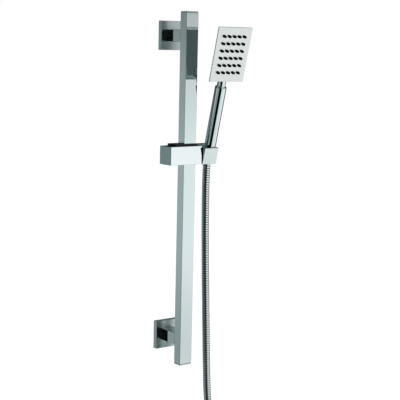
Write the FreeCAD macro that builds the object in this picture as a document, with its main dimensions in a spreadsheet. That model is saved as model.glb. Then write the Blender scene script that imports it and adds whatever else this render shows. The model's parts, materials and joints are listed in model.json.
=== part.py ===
import FreeCAD, Part

import math
import os

import Sketcher
from FreeCAD import Placement, Rotation, Vector

# A wall-mounted slide rail that carries a hand shower: a square-section rail on two square
# brackets, a slider with a tilting holder, a stick hand shower with a flat rectangular head,
# and its metal hose. Millimetres. X runs to the right along the wall, -Y comes out of the
# wall, Z is up. The origin is the middle of the upper bracket, on the wall.

DOC = FreeCAD.newDocument("SlideRailHandShower")
SHEET = DOC.addObject("Spreadsheet::Sheet", "Sizes")
PIECES = {}
TURN_TO_X = Rotation(Vector(0, 1, 0), 90)
TURN_TO_Y = Rotation(Vector(1, 0, 0), -90)
TURN_NONE = Rotation()
CLOSE = 1e-4


class Dim:
    """A size that knows its value and the sheet expression that gives it."""

    def __init__(self, text, value):
        self.text = text
        self.value = value

    def __float__(self):
        return float(self.value)

    def __add__(self, other):
        return Dim("(%s + %s)" % (self.text, as_dim(other).text), self.value + float(other))

    def __radd__(self, other):
        return as_dim(other) + self

    def __sub__(self, other):
        return Dim("(%s - %s)" % (self.text, as_dim(other).text), self.value - float(other))

    def __rsub__(self, other):
        return as_dim(other) - self

    def __mul__(self, other):
        return Dim("(%s * %s)" % (self.text, as_dim(other).text), self.value * float(other))

    def __rmul__(self, other):
        return as_dim(other) * self

    def __truediv__(self, other):
        return Dim("(%s / %s)" % (self.text, as_dim(other).text), self.value / float(other))

    def __neg__(self):
        return as_dim(0) - self


def as_dim(number):
    """A plain number as a size, so that both kinds mix in one formula."""
    return number if isinstance(number, Dim) else Dim(repr(float(number)), float(number))


def sine(angle):
    return Dim("sin(%s * 1 deg)" % angle.text, math.sin(math.radians(angle.value)))


def cosine(angle):
    return Dim("cos(%s * 1 deg)" % angle.text, math.cos(math.radians(angle.value)))


def size(alias, value, note):
    """Writes one driving size into the sheet and returns it."""
    size.row += 1
    SHEET.set("A%d" % size.row, note)
    SHEET.set("B%d" % size.row, str(value))
    SHEET.setAlias("B%d" % size.row, alias)
    return Dim("Sizes.%s" % alias, float(value))


size.row = 0

# Rail
rail_length = size("rail_length", 650, "rail with its caps, end to end")
rail_width = size("rail_width", 26.5, "rail, along the wall")
rail_depth = size("rail_depth", 19, "rail, out from the wall")
rail_wall = size("rail_wall", 1.5, "wall of the rail tube")
rail_above = size("rail_above", 43.5, "rail top above the middle of the upper bracket")
cap_thick = size("cap_thick", 2, "end cap plate")
cap_plug = size("cap_plug", 9, "end cap plug, inside the tube")
edge_round = size("edge_round", 0.8, "rounding of the bright outer edges")
slip = size("slip", 0.1, "gap round a piece that is pushed into another")
play = size("play", 0.4, "gap between pieces that move past each other")
pin_play = size("pin_play", 0.05, "gap round a pin that turns in its hole")

# Brackets
bracket_gap = size("bracket_gap", 559, "bracket to bracket, middle to middle")
flange_side = size("flange_side", 53, "side of the square flange")
flange_thick = size("flange_thick", 10, "flange, out from the wall")
flange_wall = size("flange_wall", 1.5, "wall of the hollow flange")
arm_width = size("arm_width", 26.5, "arm, along the wall")
arm_height = size("arm_height", 22, "arm, up and down")
arm_reach = size("arm_reach", 39.5, "flange front to rail back")
arm_wall = size("arm_wall", 2.5, "side walls of the hollow arm")
arm_end = size("arm_end", 4, "end wall of the arm, against the rail")
base_side = size("base_side", 49, "side of the wall base plate")
base_thick = size("base_thick", 5, "wall base plate")
spigot_length = size("spigot_length", 13, "spigot of the wall base, inside the arm")
screw_spread = size("screw_spread", 35, "wall screw to wall screw")
screw_bore = size("screw_bore", 2.7, "radius of a wall screw hole")
grub_radius = size("grub_radius", 2.5, "locking screw under the arm")
grub_length = size("grub_length", 7, "locking screw, end to end")
grub_gap = size("grub_gap", 1, "locking screw to the flange's front face")
bolt_radius = size("bolt_radius", 3, "bolt that holds the rail, shank")
bolt_head = size("bolt_head", 5, "bolt that holds the rail, head radius")
bolt_head_long = size("bolt_head_long", 5, "bolt that holds the rail, head length")
nut_plate_thick = size("nut_plate_thick", 4, "nut plate inside the rail")
nut_plate_high = size("nut_plate_high", 16, "nut plate, up and down")
hex_socket = size("hex_socket", 1.4, "radius of a locking screw's key socket")

# Slider
slider_drop = size("slider_drop", 214, "holder pivot below the upper bracket")
block_left = size("block_left", 47.8, "slider block, left of the rail axis")
block_right = size("block_right", 21.2, "slider block, right of the rail axis")
block_height = size("block_height", 33.4, "slider block, up and down")
block_margin = size("block_margin", 8, "slider block in front of and behind the rail")
cover_wall = size("cover_wall", 2, "wall of the slider's bright cover")
collar_rise = size("collar_rise", 4, "core above the cover")
collar_inset = size("collar_inset", 2, "collar inside the cover's inner wall")
collar_left = size("collar_left", 34, "collar, left of the rail axis")
core_recess = size("core_recess", 0.6, "core above the cover's lower edge")
glide_wall = size("glide_wall", 1.6, "glide ring wall")
glide_height = size("glide_height", 6, "glide ring, up and down")
brake_radius = size("brake_radius", 5.5, "brake pad")
brake_length = size("brake_length", 7, "brake pad, end to end")
brake_screw_long = size("brake_screw_long", 6, "brake set screw, end to end")
spring_wire = size("spring_wire", 0.6, "radius of the brake spring's wire")
spring_radius = size("spring_radius", 4, "brake spring, to the middle of its wire")
spring_turns = size("spring_turns", 7, "turns of the brake spring")

# Holder
lean = size("lean", 14.6, "degrees that the holder leans out from the wall")
holder_gap = size("holder_gap", 1.5, "slider block to holder")
holder_width = size("holder_width", 31.2, "holder, along the wall")
holder_top = size("holder_top", 18.2, "holder above its pivot")
holder_low = size("holder_low", 13, "holder below its pivot")
holder_front = size("holder_front", 21.1, "holder in front of its pivot")
holder_back = size("holder_back", 9, "holder behind its pivot")
holder_round = size("holder_round", 1, "rounding of the holder's edges")
socket_side = size("socket_side", 21.3, "holder's left face to the middle of the socket")
socket_ahead = size("socket_ahead", 7, "middle of the socket in front of the pivot")
socket_radius = size("socket_radius", 12.1, "socket bore")
slot_width = size("slot_width", 15.2, "slot that the hose slips through")
liner_top = size("liner_top", 5, "top of the liner, above the pivot")
liner_foot = size("liner_foot", 3, "foot of the liner, below the pivot")
liner_taper = size("liner_taper", 1.2, "how much narrower the liner is at its foot")
liner_rim = size("liner_rim", 0.5, "liner wall at its top")
pivot_radius = size("pivot_radius", 5, "pivot pin")
pivot_depth = size("pivot_depth", 8, "pivot pin inside the holder")
clip_radius = size("clip_radius", 7.6, "retaining clip on the pivot pin")
clip_thick = size("clip_thick", 1.2, "retaining clip")
clip_setback = size("clip_setback", 0.4, "retaining clip to the pin's end")
washer_radius = size("washer_radius", 9, "friction washer")

# Hand shower
handle_radius = size("handle_radius", 10.7, "handle")
handle_wall = size("handle_wall", 1.2, "wall of the handle tube")
handle_foot = size("handle_foot", 14, "foot of the handle, above the pivot")
handle_top = size("handle_top", 131.5, "top of the handle, above the pivot")
handle_shoulder = size("handle_shoulder", 2.4, "rounding of the handle's shoulder")
neck_step = size("neck_step", 2.95, "handle, out past the neck")
neck_radius = handle_radius - neck_step
neck_bore = size("neck_bore", 4.6, "water passage in the neck")
neck_foot = size("neck_foot", 122, "foot of the neck, inside the handle")
neck_top = size("neck_top", 157, "top of the neck, inside the head")
water_wall = size("water_wall", 1.2, "wall of the inner water tube")
inlet_thread = size("inlet_thread", 10.48, "half-inch pipe thread, outer radius")
inlet_thread_long = size("inlet_thread_long", 9, "length of the inlet thread")
inlet_body = size("inlet_body", 12, "inlet fitting inside the handle")
inlet_bore = size("inlet_bore", 6.5, "bore of the inlet fitting")
inlet_chamfer = size("inlet_chamfer", 0.8, "chamfer at the start of the inlet thread")
valve_length = size("valve_length", 10, "check valve cartridge")
valve_bore = size("valve_bore", 3, "passage of the check valve")
strainer_thick = size("strainer_thick", 2.5, "strainer disc at the inlet")
strainer_bore = size("strainer_bore", 1.6, "passage of the strainer disc")
head_foot = size("head_foot", 143.5, "lower edge of the head, above the pivot")
head_high = size("head_high", 99.3, "head along the handle")
head_wide = size("head_wide", 75.4, "head, side to side")
head_ahead = size("head_ahead", 12.3, "face of the head in front of the handle's axis")
plate_thick = size("plate_thick", 2.6, "face plate")
back_reach = size("back_reach", 0.5, "flat of the back shell, behind the handle's axis")
back_inset = size("back_inset", 0.8, "back shell inside the face plate's outline")
back_slope_side = size("back_slope_side", 9, "slope of the back shell, each side")
back_slope_top = size("back_slope_top", 7, "slope of the back shell, far end")
back_slope_foot = size("back_slope_foot", 7, "slope of the back shell, handle end")
boss_wall = size("boss_wall", 1.65, "boss on the head's back, round the neck")
boss_radius = neck_radius + boss_wall
boss_top = size("boss_top", 160, "top of the boss, above the pivot")
chamber_side = size("chamber_side", 23, "half width of the water chamber")
chamber_foot = size("chamber_foot", 157, "lower end of the water chamber")
chamber_top = size("chamber_top", 225, "upper end of the water chamber")
chamber_wall = size("chamber_wall", 1.8, "wall behind the water chamber")
nozzle_across = size("nozzle_across", 11.2, "nozzle to nozzle, side to side")
nozzle_along = size("nozzle_along", 13.2, "nozzle to nozzle, along the handle")
nozzle_columns = size("nozzle_columns", 5, "nozzles side by side")
nozzle_rows = size("nozzle_rows", 6, "nozzles one above the other")
nozzle_radius = size("nozzle_radius", 2.7, "nozzle, at its root")
nozzle_proud = size("nozzle_proud", 4.4, "nozzle in front of the face plate")
nozzle_bore = size("nozzle_bore", 0.6, "jet hole of a nozzle")
mat_thick = size("mat_thick", 1.5, "nozzle mat behind the face plate")
mat_side = size("mat_side", 29, "half width of the nozzle mat")
mat_margin = size("mat_margin", 7, "head's edge to the mat, along the handle")
face_screw_side = size("face_screw_side", 33, "middle of the head to a face screw")
face_screw_end = size("face_screw_end", 4.4, "head's edge to a face screw")
face_screw_radius = size("face_screw_radius", 1.2, "face screw, shank")
face_screw_head = size("face_screw_head", 2.1, "face screw, head")
face_screw_high = size("face_screw_high", 1.4, "face screw, height of its head")
screw_seat_deep = size("screw_seat_deep", 1.2, "face screw's seat behind the face plate")
tap_share = size("tap_share", 0.6, "share of the face plate that a screw goes into")

# Hose
hose_radius = size("hose_radius", 7, "hose")
hose_bore = size("hose_bore", 4.3, "bore of the hose fittings")
nut_radius = size("nut_radius", 11.3, "cone nut, upper end")
nut_straight = size("nut_straight", 8.3, "straight part of the cone nut")
nut_foot = size("nut_foot", 12.5, "foot of the cone nut, below the pivot")
nut_foot_radius = size("nut_foot_radius", 8.5, "cone nut, lower end")
gasket_thick = size("gasket_thick", 1.8, "hose gasket")
collar_thick = size("collar_thick", 2, "collar of a hose ferrule")
collar_radius = size("collar_radius", 9.4, "collar of a hose ferrule, radius")
hang_drop = size("hang_drop", 17.5, "where the hose starts to flex, below the pivot")
hang_gap = size("hang_gap", 5.6, "end of the upper ferrule above that point")
coil_radius = size("coil_radius", 82, "spare hose, to the middle of its turns")
hex_flats = size("hex_flats", 24, "wall nut across its flats")
hex_long = size("hex_long", 16, "wall nut, end to end")
tail_radius = size("tail_radius", 7.6, "ferrule at the wall end of the hose")
tail_long = size("tail_long", 12, "ferrule behind the wall nut")
nut_lip = size("nut_lip", 2.5, "inward lip that keeps the wall nut on its ferrule")
throat_gap = size("throat_gap", 0.6, "gap round the hose in the cone nut's foot")
tie_wide = size("tie_wide", 12, "strap that holds the spare hose")
tie_thick = size("tie_thick", 1.2, "strap thickness")
tie_gap = size("tie_gap", 0.25, "gap between a strap and the hose")

# Places that follow from the sizes
rail_y = -(flange_thick + arm_reach + rail_depth / 2)
rail_top = rail_above
rail_foot = rail_above - rail_length
block_depth = rail_depth + 2 * block_margin
holder_left = block_right + holder_gap
socket_x = holder_left + socket_side
hold_y = rail_y - socket_ahead * cosine(lean)
hold_z = -slider_drop - socket_ahead * sine(lean)
head_top = head_foot + head_high
plate_back = head_ahead - plate_thick
mat_back = plate_back - mat_thick
first_column = -(nozzle_columns - 1) * nozzle_across / 2
first_row = head_foot + (head_high - (nozzle_rows - 1) * nozzle_along) / 2
thread_foot = handle_foot - inlet_thread_long
gasket_foot = thread_foot - gasket_thick
ferrule_collar = gasket_foot - play
ferrule_foot = hang_gap - hang_drop


def bind(target, prop, dim):
    """Ties a property to its sizes in the sheet."""
    target.setExpression(prop, as_dim(dim).text)


def put(target, base, turn=TURN_NONE):
    """Places an object and ties its place to the sheet."""
    target.Placement = Placement(Vector(*[float(v) for v in base]), turn)
    for axis, dim in zip("xyz", base):
        bind(target, "Placement.Base." + axis, dim)


def lean_out(target, base):
    """Places an object in a frame that leans out from the wall with the holder."""
    put(target, base, Rotation(Vector(1, 0, 0), float(lean)))
    target.setExpression("Placement.Rotation.Angle", "%s * 1 deg" % lean.text)


def box(name, corner, sides):
    made = DOC.addObject("Part::Box", name)
    for prop, dim in zip(("Length", "Width", "Height"), sides):
        bind(made, prop, dim)
    put(made, corner)
    return made


def rod(name, base, radius, length, turn=TURN_NONE):
    made = DOC.addObject("Part::Cylinder", name)
    bind(made, "Radius", radius)
    bind(made, "Height", length)
    put(made, base, turn)
    return made


def taper(name, base, low, high, length):
    made = DOC.addObject("Part::Cone", name)
    bind(made, "Radius1", low)
    bind(made, "Radius2", high)
    bind(made, "Height", length)
    put(made, base)
    return made


def ball(name, centre, radius):
    made = DOC.addObject("Part::Sphere", name)
    bind(made, "Radius", radius)
    put(made, centre)
    return made


def fuse(name, *parts):
    made = DOC.addObject("Part::MultiFuse", name)
    made.Shapes = list(parts)
    made.Refine = True
    return made


def cut(name, solid, *tools):
    """Takes every tool out of a solid."""
    made = DOC.addObject("Part::Cut", name)
    made.Base = solid
    made.Tool = tools[0] if len(tools) == 1 else fuse(name + "_tools", *tools)
    made.Refine = True
    return made


def soften(name, solid, radius, wanted):
    """Rounds the straight edges that the test picks out."""
    DOC.recompute()
    made = DOC.addObject("Part::Fillet", name)
    made.Base = solid
    picked = [i + 1 for i, edge in enumerate(solid.Shape.Edges) if wanted(edge)]
    made.Edges = [(i, float(radius), float(radius)) for i in picked]
    return made


def runs_along(edge, axis):
    """Whether a straight edge runs along X (0), Y (1) or Z (2)."""
    if edge.Curve.TypeId != "Part::GeomLine":
        return False
    return abs(abs(edge.Curve.Direction[axis]) - 1) < CLOSE


def lies_at(edge, axis, *places):
    """Whether a straight edge lies in one of the planes across an axis."""
    middle = edge.BoundBox.Center[axis]
    return not runs_along(edge, axis) and any(abs(middle - float(p)) < CLOSE for p in places)


def keep(node, solid):
    """Names a finished piece, which is written under that name."""
    solid.Label = node
    PIECES[node] = solid
    return solid


def new_body(node):
    return keep(node, DOC.addObject("PartDesign::Body", node))


def sketch_on(body, name, role, offset):
    """An empty sketch on one of the body's own planes, moved along its normal."""
    plane = [p for p in body.Origin.OriginFeatures if p.Role == role][0]
    made = body.newObject("Sketcher::SketchObject", name)
    made.AttachmentSupport = [(plane, "")]
    made.MapMode = "FlatFace"
    made.AttachmentOffset = Placement(Vector(0, 0, float(offset)), TURN_NONE)
    bind(made, "AttachmentOffset.Base.z", offset)
    return made


def pin_point(sketch, line, end, across, up):
    """Ties one end of a sketch line, or a circle's middle, to two sizes."""
    for kind, dim in (("DistanceX", across), ("DistanceY", up)):
        index = sketch.addConstraint(Sketcher.Constraint(kind, -1, 1, line, end, float(dim)))
        sketch.setExpression("Constraints[%d]" % index, as_dim(dim).text)


def draw_outline(sketch, points):
    """A closed outline whose every corner is tied to the sheet."""
    first = sketch.GeometryCount
    corners = [Vector(float(a), float(b), 0) for a, b in points]
    count = len(corners)
    for i in range(count):
        sketch.addGeometry(Part.LineSegment(corners[i], corners[(i + 1) % count]), False)
    for i in range(count):
        after = first + (i + 1) % count
        sketch.addConstraint(Sketcher.Constraint("Coincident", first + i, 2, after, 1))
    for i in range(count):
        pin_point(sketch, first + i, 1, *points[i])


def draw_circle(sketch, across, up, radius):
    middle = Vector(float(across), float(up), 0)
    made = sketch.addGeometry(Part.Circle(middle, Vector(0, 0, 1), float(radius)), False)
    index = sketch.addConstraint(Sketcher.Constraint("Radius", made, float(radius)))
    sketch.setExpression("Constraints[%d]" % index, as_dim(radius).text)
    pin_point(sketch, made, 3, across, up)


def oblong(low, high):
    """The corners of an upright rectangle, from two opposite ones."""
    return [(low[0], low[1]), (high[0], low[1]), (high[0], high[1]), (low[0], high[1])]


def raise_pad(body, sketch, name, length):
    made = body.newObject("PartDesign::Pad", name)
    made.Profile = sketch
    bind(made, "Length", length)
    sketch.Visibility = False
    return made


def sink_pocket(body, sketch, name, length, backwards):
    """A pocket, with a check that it really takes material away."""
    DOC.recompute()
    before = body.Shape.Volume
    made = body.newObject("PartDesign::Pocket", name)
    made.Profile = sketch
    bind(made, "Length", length)
    made.Reversed = backwards
    DOC.recompute()
    if body.Shape.Volume > before - 0.01:
        raise RuntimeError("pocket %s cuts nothing" % name)
    return made


def turn_profile(body, sketch, name):
    """Turns a profile all the way round the sketch's upright axis."""
    made = body.newObject("PartDesign::Revolution", name)
    made.Profile = sketch
    made.ReferenceAxis = (sketch, ["V_Axis"])
    made.Angle = 360
    return made


def turned_piece(node, profile):
    """A body turned from a half profile: radius across, height up."""
    body = new_body(node)
    outline = sketch_on(body, node + "_profile", "XZ_Plane", 0)
    draw_outline(outline, profile)
    turn_profile(body, outline, node + "_turned")
    return body


def nozzle_grid(body, feature, sketch, name):
    """Repeats one nozzle's feature over the rows and columns of the head."""
    grid = body.newObject("PartDesign::MultiTransform", name)
    grid.Originals = [feature]
    across = body.newObject("PartDesign::LinearPattern", name + "_across")
    across.Direction = (sketch, ["H_Axis"])
    bind(across, "Length", (nozzle_columns - 1) * nozzle_across)
    bind(across, "Occurrences", nozzle_columns)
    along = body.newObject("PartDesign::LinearPattern", name + "_along")
    along.Direction = (sketch, ["V_Axis"])
    bind(along, "Length", (nozzle_rows - 1) * nozzle_along)
    bind(along, "Occurrences", nozzle_rows)
    grid.Transformations = [across, along]
    body.Tip = grid
    return grid


# ---------------------------------------------------------------- rail and its brackets

def make_rail():
    """The square-section tube and the plugs that close its ends."""
    tube_foot = rail_foot + cap_thick
    tube_length = rail_length - 2 * cap_thick
    outer = box("rail_outer", (-rail_width / 2, rail_y - rail_depth / 2, tube_foot),
                (rail_width, rail_depth, tube_length))
    inner = box("rail_inner", (-rail_width / 2 + rail_wall, rail_y - rail_depth / 2 + rail_wall,
                               tube_foot),
                (rail_width - 2 * rail_wall, rail_depth - 2 * rail_wall, tube_length))
    rounded = soften("rail_rounded", outer, edge_round, lambda edge: runs_along(edge, 2))
    bolt_holes = [rod("rail_bolt_hole_%d" % i, (0, rail_y, -drop), bolt_radius, rail_depth / 2,
                      TURN_TO_Y)
                  for i, drop in enumerate((as_dim(0), bracket_gap))]
    keep("rail_tube", cut("rail_tube_cut", rounded, inner, *bolt_holes))
    make_cap("rail_top_cap", rail_top - cap_thick, rail_top - cap_thick - cap_plug, rail_top)
    make_cap("rail_bottom_cap", rail_foot, rail_foot + cap_thick, rail_foot)


def make_cap(node, plate_low, plug_low, outside):
    """A flush end plate with a plug that fits in the tube."""
    plate = box(node + "_plate", (-rail_width / 2, rail_y - rail_depth / 2, plate_low),
                (rail_width, rail_depth, cap_thick))
    rounded = soften(node + "_rounded", plate, edge_round,
                     lambda edge: runs_along(edge, 2) or lies_at(edge, 2, outside))
    inset = rail_wall + slip
    plug = box(node + "_plug", (-rail_width / 2 + inset, rail_y - rail_depth / 2 + inset, plug_low),
               (rail_width - 2 * inset, rail_depth - 2 * inset, cap_plug))
    keep(node, fuse(node + "_fuse", rounded, plug))


def make_bracket(side, drop):
    """One bracket: flange, wall base, arm, locking screw, bolt and nut plate."""
    make_flange(side + "_flange", drop)
    make_wall_base(side, drop)
    make_arm(side, drop)
    make_arm_bolt(side, drop)


def make_flange(node, drop):
    """A hollow square cover, open to the wall, with an opening for the arm."""
    body = new_body(node)
    half = flange_side / 2
    outline = sketch_on(body, node + "_outline", "XZ_Plane", 0)
    draw_outline(outline, oblong((-half, -half), (half, half)))
    raise_pad(body, outline, node + "_pad", flange_thick)
    inner = half - flange_wall
    hollow = sketch_on(body, node + "_hollow", "XZ_Plane", 0)
    draw_outline(hollow, oblong((-inner, -inner), (inner, inner)))
    sink_pocket(body, hollow, node + "_pocket", flange_thick - flange_wall, True)
    opening = sketch_on(body, node + "_opening", "XZ_Plane", 0)
    across, up = arm_width / 2 + slip, arm_height / 2 + slip
    draw_outline(opening, oblong((-across, -up), (across, up)))
    sink_pocket(body, opening, node + "_window", flange_thick, True)
    round_front(body, node, half)
    put(body, (as_dim(0), as_dim(0), -drop))


def round_front(body, node, half):
    """Rounds the flange's four front edges and its four corners."""
    DOC.recompute()
    tip = body.Tip
    names = []
    for i, edge in enumerate(tip.Shape.Edges):
        middle = edge.BoundBox.Center
        outside = max(abs(middle.x), abs(middle.z)) > float(half) - CLOSE
        front = abs(middle.y + float(flange_thick)) < CLOSE
        if outside and (front or runs_along(edge, 1)):
            names.append("Edge%d" % (i + 1))
    rounding = body.newObject("PartDesign::Fillet", node + "_rounding")
    rounding.Base = (tip, names)
    bind(rounding, "Radius", edge_round)


def make_wall_base(side, drop):
    """The plate screwed to the wall, with the spigot that carries the arm."""
    node = side + "_wall_base"
    plate = box(node + "_plate", (-base_side / 2, -base_thick, -base_side / 2 - drop),
                (base_side, base_thick, base_side))
    wide = arm_width - 2 * (arm_wall + slip)
    high = arm_height - 2 * (arm_wall + slip)
    spigot = box(node + "_spigot", (-wide / 2, -base_thick - spigot_length, -high / 2 - drop),
                 (wide, spigot_length, high))
    holes = [rod("%s_screw_hole_%d" % (node, i), (0, -base_thick, place - drop), screw_bore,
                 base_thick, TURN_TO_Y)
             for i, place in enumerate((-screw_spread / 2, screw_spread / 2))]
    grub = rod(node + "_grub_hole", (0, grub_y(), -arm_height / 2 - drop), grub_radius, grub_length)
    keep(node, cut(node + "_cut", fuse(node + "_fuse", plate, spigot), grub, *holes))


def grub_y():
    """The locking screw stands just clear of the flange's front face."""
    return -(flange_thick + grub_radius + grub_gap)


def make_arm(side, drop):
    """The hollow arm from the wall base to the rail, closed at the rail's end."""
    node = side + "_arm"
    length = flange_thick + arm_reach - base_thick
    outer = box(node + "_outer", (-arm_width / 2, -base_thick - length, -arm_height / 2 - drop),
                (arm_width, length, arm_height))
    rounded = soften(node + "_rounded", outer, edge_round, lambda edge: runs_along(edge, 1))
    inner = box(node + "_inner", (-arm_width / 2 + arm_wall, -base_thick - length + arm_end,
                                  -arm_height / 2 + arm_wall - drop),
                (arm_width - 2 * arm_wall, length - arm_end, arm_height - 2 * arm_wall))
    bolt_hole = rod(node + "_bolt_hole", (0, -base_thick - length, -drop), bolt_radius, arm_end,
                    TURN_TO_Y)
    grub_hole = rod(node + "_grub_hole", (0, grub_y(), -arm_height / 2 - drop), grub_radius,
                    arm_wall)
    keep(node, cut(node + "_cut", rounded, inner, bolt_hole, grub_hole))
    grub = rod(node + "_grub", (0, grub_y(), -arm_height / 2 - drop), grub_radius, grub_length)
    key = rod(node + "_key", (0, grub_y(), -arm_height / 2 - drop), hex_socket, grub_length / 2)
    keep(side + "_grub_screw", cut(node + "_grub_cut", grub, key))


def make_arm_bolt(side, drop):
    """The bolt from inside the arm into a nut plate inside the rail."""
    node = side + "_arm_bolt"
    rail_back = rail_y + rail_depth / 2
    nut_front = rail_back - rail_wall - nut_plate_thick
    shank = rod(node + "_shank", (0, nut_front, -drop), bolt_radius,
                nut_plate_thick + rail_wall + arm_end, TURN_TO_Y)
    head = rod(node + "_head", (0, rail_back + arm_end, -drop), bolt_head, bolt_head_long, TURN_TO_Y)
    key = rod(node + "_key", (0, rail_back + arm_end + bolt_head_long / 2, -drop), bolt_radius,
              bolt_head_long / 2, TURN_TO_Y)
    keep(node, cut(node + "_cut", fuse(node + "_fuse", shank, head), key))
    wide = rail_width - 2 * (rail_wall + slip)
    plate = box(side + "_nut_plate_block", (-wide / 2, nut_front, -nut_plate_high / 2 - drop),
                (wide, nut_plate_thick, nut_plate_high))
    hole = rod(side + "_nut_plate_hole", (0, nut_front, -drop), bolt_radius, nut_plate_thick,
               TURN_TO_Y)
    keep(side + "_nut_plate", cut(side + "_nut_plate_cut", plate, hole))


# ---------------------------------------------------------------- slider (around the rail)

SLIDER_PLACE = (as_dim(0), rail_y, -slider_drop)


def make_slider():
    """The block that slides on the rail. Its own frame has the holder's pivot at height 0."""
    make_slider_cover()
    make_slider_core()
    make_glides()
    make_brake()


def make_slider_cover():
    """The bright sleeve, open above and below."""
    long = block_left + block_right
    outer = box("cover_outer", (-block_left, -block_depth / 2, -block_height / 2),
                (long, block_depth, block_height))
    rounded = soften("cover_rounded", outer, edge_round, lambda edge: True)
    inner = box("cover_inner", (-block_left + cover_wall, -block_depth / 2 + cover_wall,
                                -block_height / 2),
                (long - 2 * cover_wall, block_depth - 2 * cover_wall, block_height))
    hole = rod("cover_pivot_hole", (block_right - cover_wall, 0, 0), pivot_radius + play,
               cover_wall, TURN_TO_X)
    made = keep("slider_cover", cut("cover_cut", rounded, inner, hole))
    put(made, SLIDER_PLACE)


def make_slider_core():
    """The black core inside the cover, with the rail's channel and the brake's chamber."""
    inset = cover_wall + slip
    low = -block_height / 2 + core_recess
    long = block_left + block_right
    lower = box("core_lower", (-block_left + inset, -block_depth / 2 + inset, low),
                (long - 2 * inset, block_depth - 2 * inset, block_height - core_recess))
    rim = cover_wall + collar_inset
    gap = play + slip
    collar = box("core_collar", (-collar_left, -block_depth / 2 + rim, block_height / 2),
                 (collar_left + rail_width / 2 + gap, block_depth - 2 * rim, collar_rise))
    soft_collar = soften("core_collar_rounded", collar, edge_round,
                         lambda edge: lies_at(edge, 0, -collar_left) or
                         lies_at(edge, 2, block_height / 2 + collar_rise))
    channel = box("core_channel", (-rail_width / 2 - gap, -rail_depth / 2 - gap, low),
                  (rail_width + 2 * gap, rail_depth + 2 * gap, block_height + collar_rise))
    seats = [glide_block("core_seat_%d" % i, z, glide_wall + slip)
             for i, z in enumerate(glide_heights())]
    chamber = rod("core_chamber", (-block_left + inset, 0, 0), brake_radius + slip,
                  block_left - inset - rail_width / 2, TURN_TO_X)
    wall_inside = rail_width / 2 + gap
    pivot_hole = rod("core_pivot_hole", (wall_inside, 0, 0), pivot_radius + pin_play,
                     block_right - inset - wall_inside, TURN_TO_X)
    clip_room = rod("core_clip_room", (wall_inside, 0, 0), clip_radius + play,
                    clip_left() + clip_thick + play - wall_inside, TURN_TO_X)
    made = keep("slider_core", cut("core_cut", fuse("core_fuse", lower, soft_collar), channel,
                                   chamber, pivot_hole, clip_room, *seats))
    put(made, SLIDER_PLACE)


def glide_heights():
    """Where the lower and the upper glide ring start."""
    return (-block_height / 2 + core_recess, block_height / 2 - glide_height)


def glide_block(name, low, wall):
    """A block round the rail, as thick as a glide's wall."""
    across = rail_width / 2 + play + wall
    deep = rail_depth / 2 + play + wall
    return box(name, (-across, -deep, low), (2 * across, 2 * deep, glide_height))


def make_glides():
    """Two plastic rings that run on the rail."""
    for node, low in zip(("slider_lower_glide", "slider_upper_glide"), glide_heights()):
        ring = glide_block(node + "_ring", low, glide_wall)
        across, deep = rail_width / 2 + play, rail_depth / 2 + play
        hole = box(node + "_hole", (-across, -deep, low), (2 * across, 2 * deep, glide_height))
        put(keep(node, cut(node + "_cut", ring, hole)), SLIDER_PLACE)


def pin_left():
    """The pivot pin's inner end stands clear of the rail."""
    return rail_width / 2 + 2 * play + slip


def clip_left():
    """The retaining clip sits just inside the pin's end."""
    return pin_left() + clip_setback


def make_brake():
    """Pad, spring and set screw that press on the rail's left side."""
    pad_left = -rail_width / 2 - play - brake_length
    pad = rod("brake_pad_rod", (pad_left, 0, 0), brake_radius, brake_length, TURN_TO_X)
    nose = rod("brake_pad_nose", (pad_left, 0, 0), spring_radius - spring_wire - slip,
               brake_length / 3, TURN_TO_X)
    rim = rod("brake_pad_rim", (pad_left, 0, 0), brake_radius, brake_length / 3, TURN_TO_X)
    put(keep("brake_pad", cut("brake_pad_cut", pad, cut("brake_pad_step", rim, nose))),
        SLIDER_PLACE)
    screw_left = -block_left + cover_wall + slip
    screw = rod("brake_screw_rod", (screw_left, 0, 0), brake_radius + slip, brake_screw_long,
                TURN_TO_X)
    key = rod("brake_screw_key", (screw_left, 0, 0), bolt_radius, brake_screw_long / 2, TURN_TO_X)
    put(keep("brake_set_screw", cut("brake_screw_cut", screw, key)), SLIDER_PLACE)
    make_spring(screw_left + brake_screw_long, pad_left + brake_length / 3)


def make_spring(left, right):
    """The brake's coil spring, from the set screw to the shoulder of the pad."""
    wire = float(spring_wire)
    length = float(right) - float(left) - 2 * wire
    helix = Part.makeHelix(length / float(spring_turns), length, float(spring_radius))
    start = Vector(float(spring_radius), 0, 0)
    section = Part.Wire(Part.makeCircle(wire, start, Vector(0, 1, 0)))
    spring = DOC.addObject("Part::Feature", "brake_spring_wire")
    spring.Shape = Part.Wire(helix.Edges).makePipeShell([section], True, True)
    put(keep("brake_spring", spring), (left + spring_wire, rail_y, -slider_drop), TURN_TO_X)


# ---------------------------------------------------------------- holder (leaning frame)

HOLDER_PLACE = (as_dim(0), rail_y, -slider_drop)
HAND_PLACE = (socket_x, hold_y, hold_z)


def make_holder():
    """The tilting holder. Its frame has the pivot's axis along X at height 0."""
    block = box("holder_block", (holder_left, -holder_front, -holder_low),
                (holder_width, holder_front + holder_back, holder_top + holder_low))
    rounded = soften("holder_rounded", block, holder_round, lambda edge: True)
    bore = rod("holder_bore", (socket_x, -socket_ahead, -holder_low), socket_radius,
               holder_top + holder_low)
    pin_hole = rod("holder_pin_hole", (holder_left, 0, 0), pivot_radius, pivot_depth, TURN_TO_X)
    made = keep("holder_body", cut("holder_cut", rounded, bore, hose_slot("holder_slot"), pin_hole))
    lean_out(made, HOLDER_PLACE)
    make_liner()
    make_pivot()


def hose_slot(name):
    """The slot on the right that the hose slips through."""
    return box(name, (socket_x, -socket_ahead - slot_width / 2, -holder_low),
               (holder_width, slot_width, holder_top + holder_low))


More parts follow.
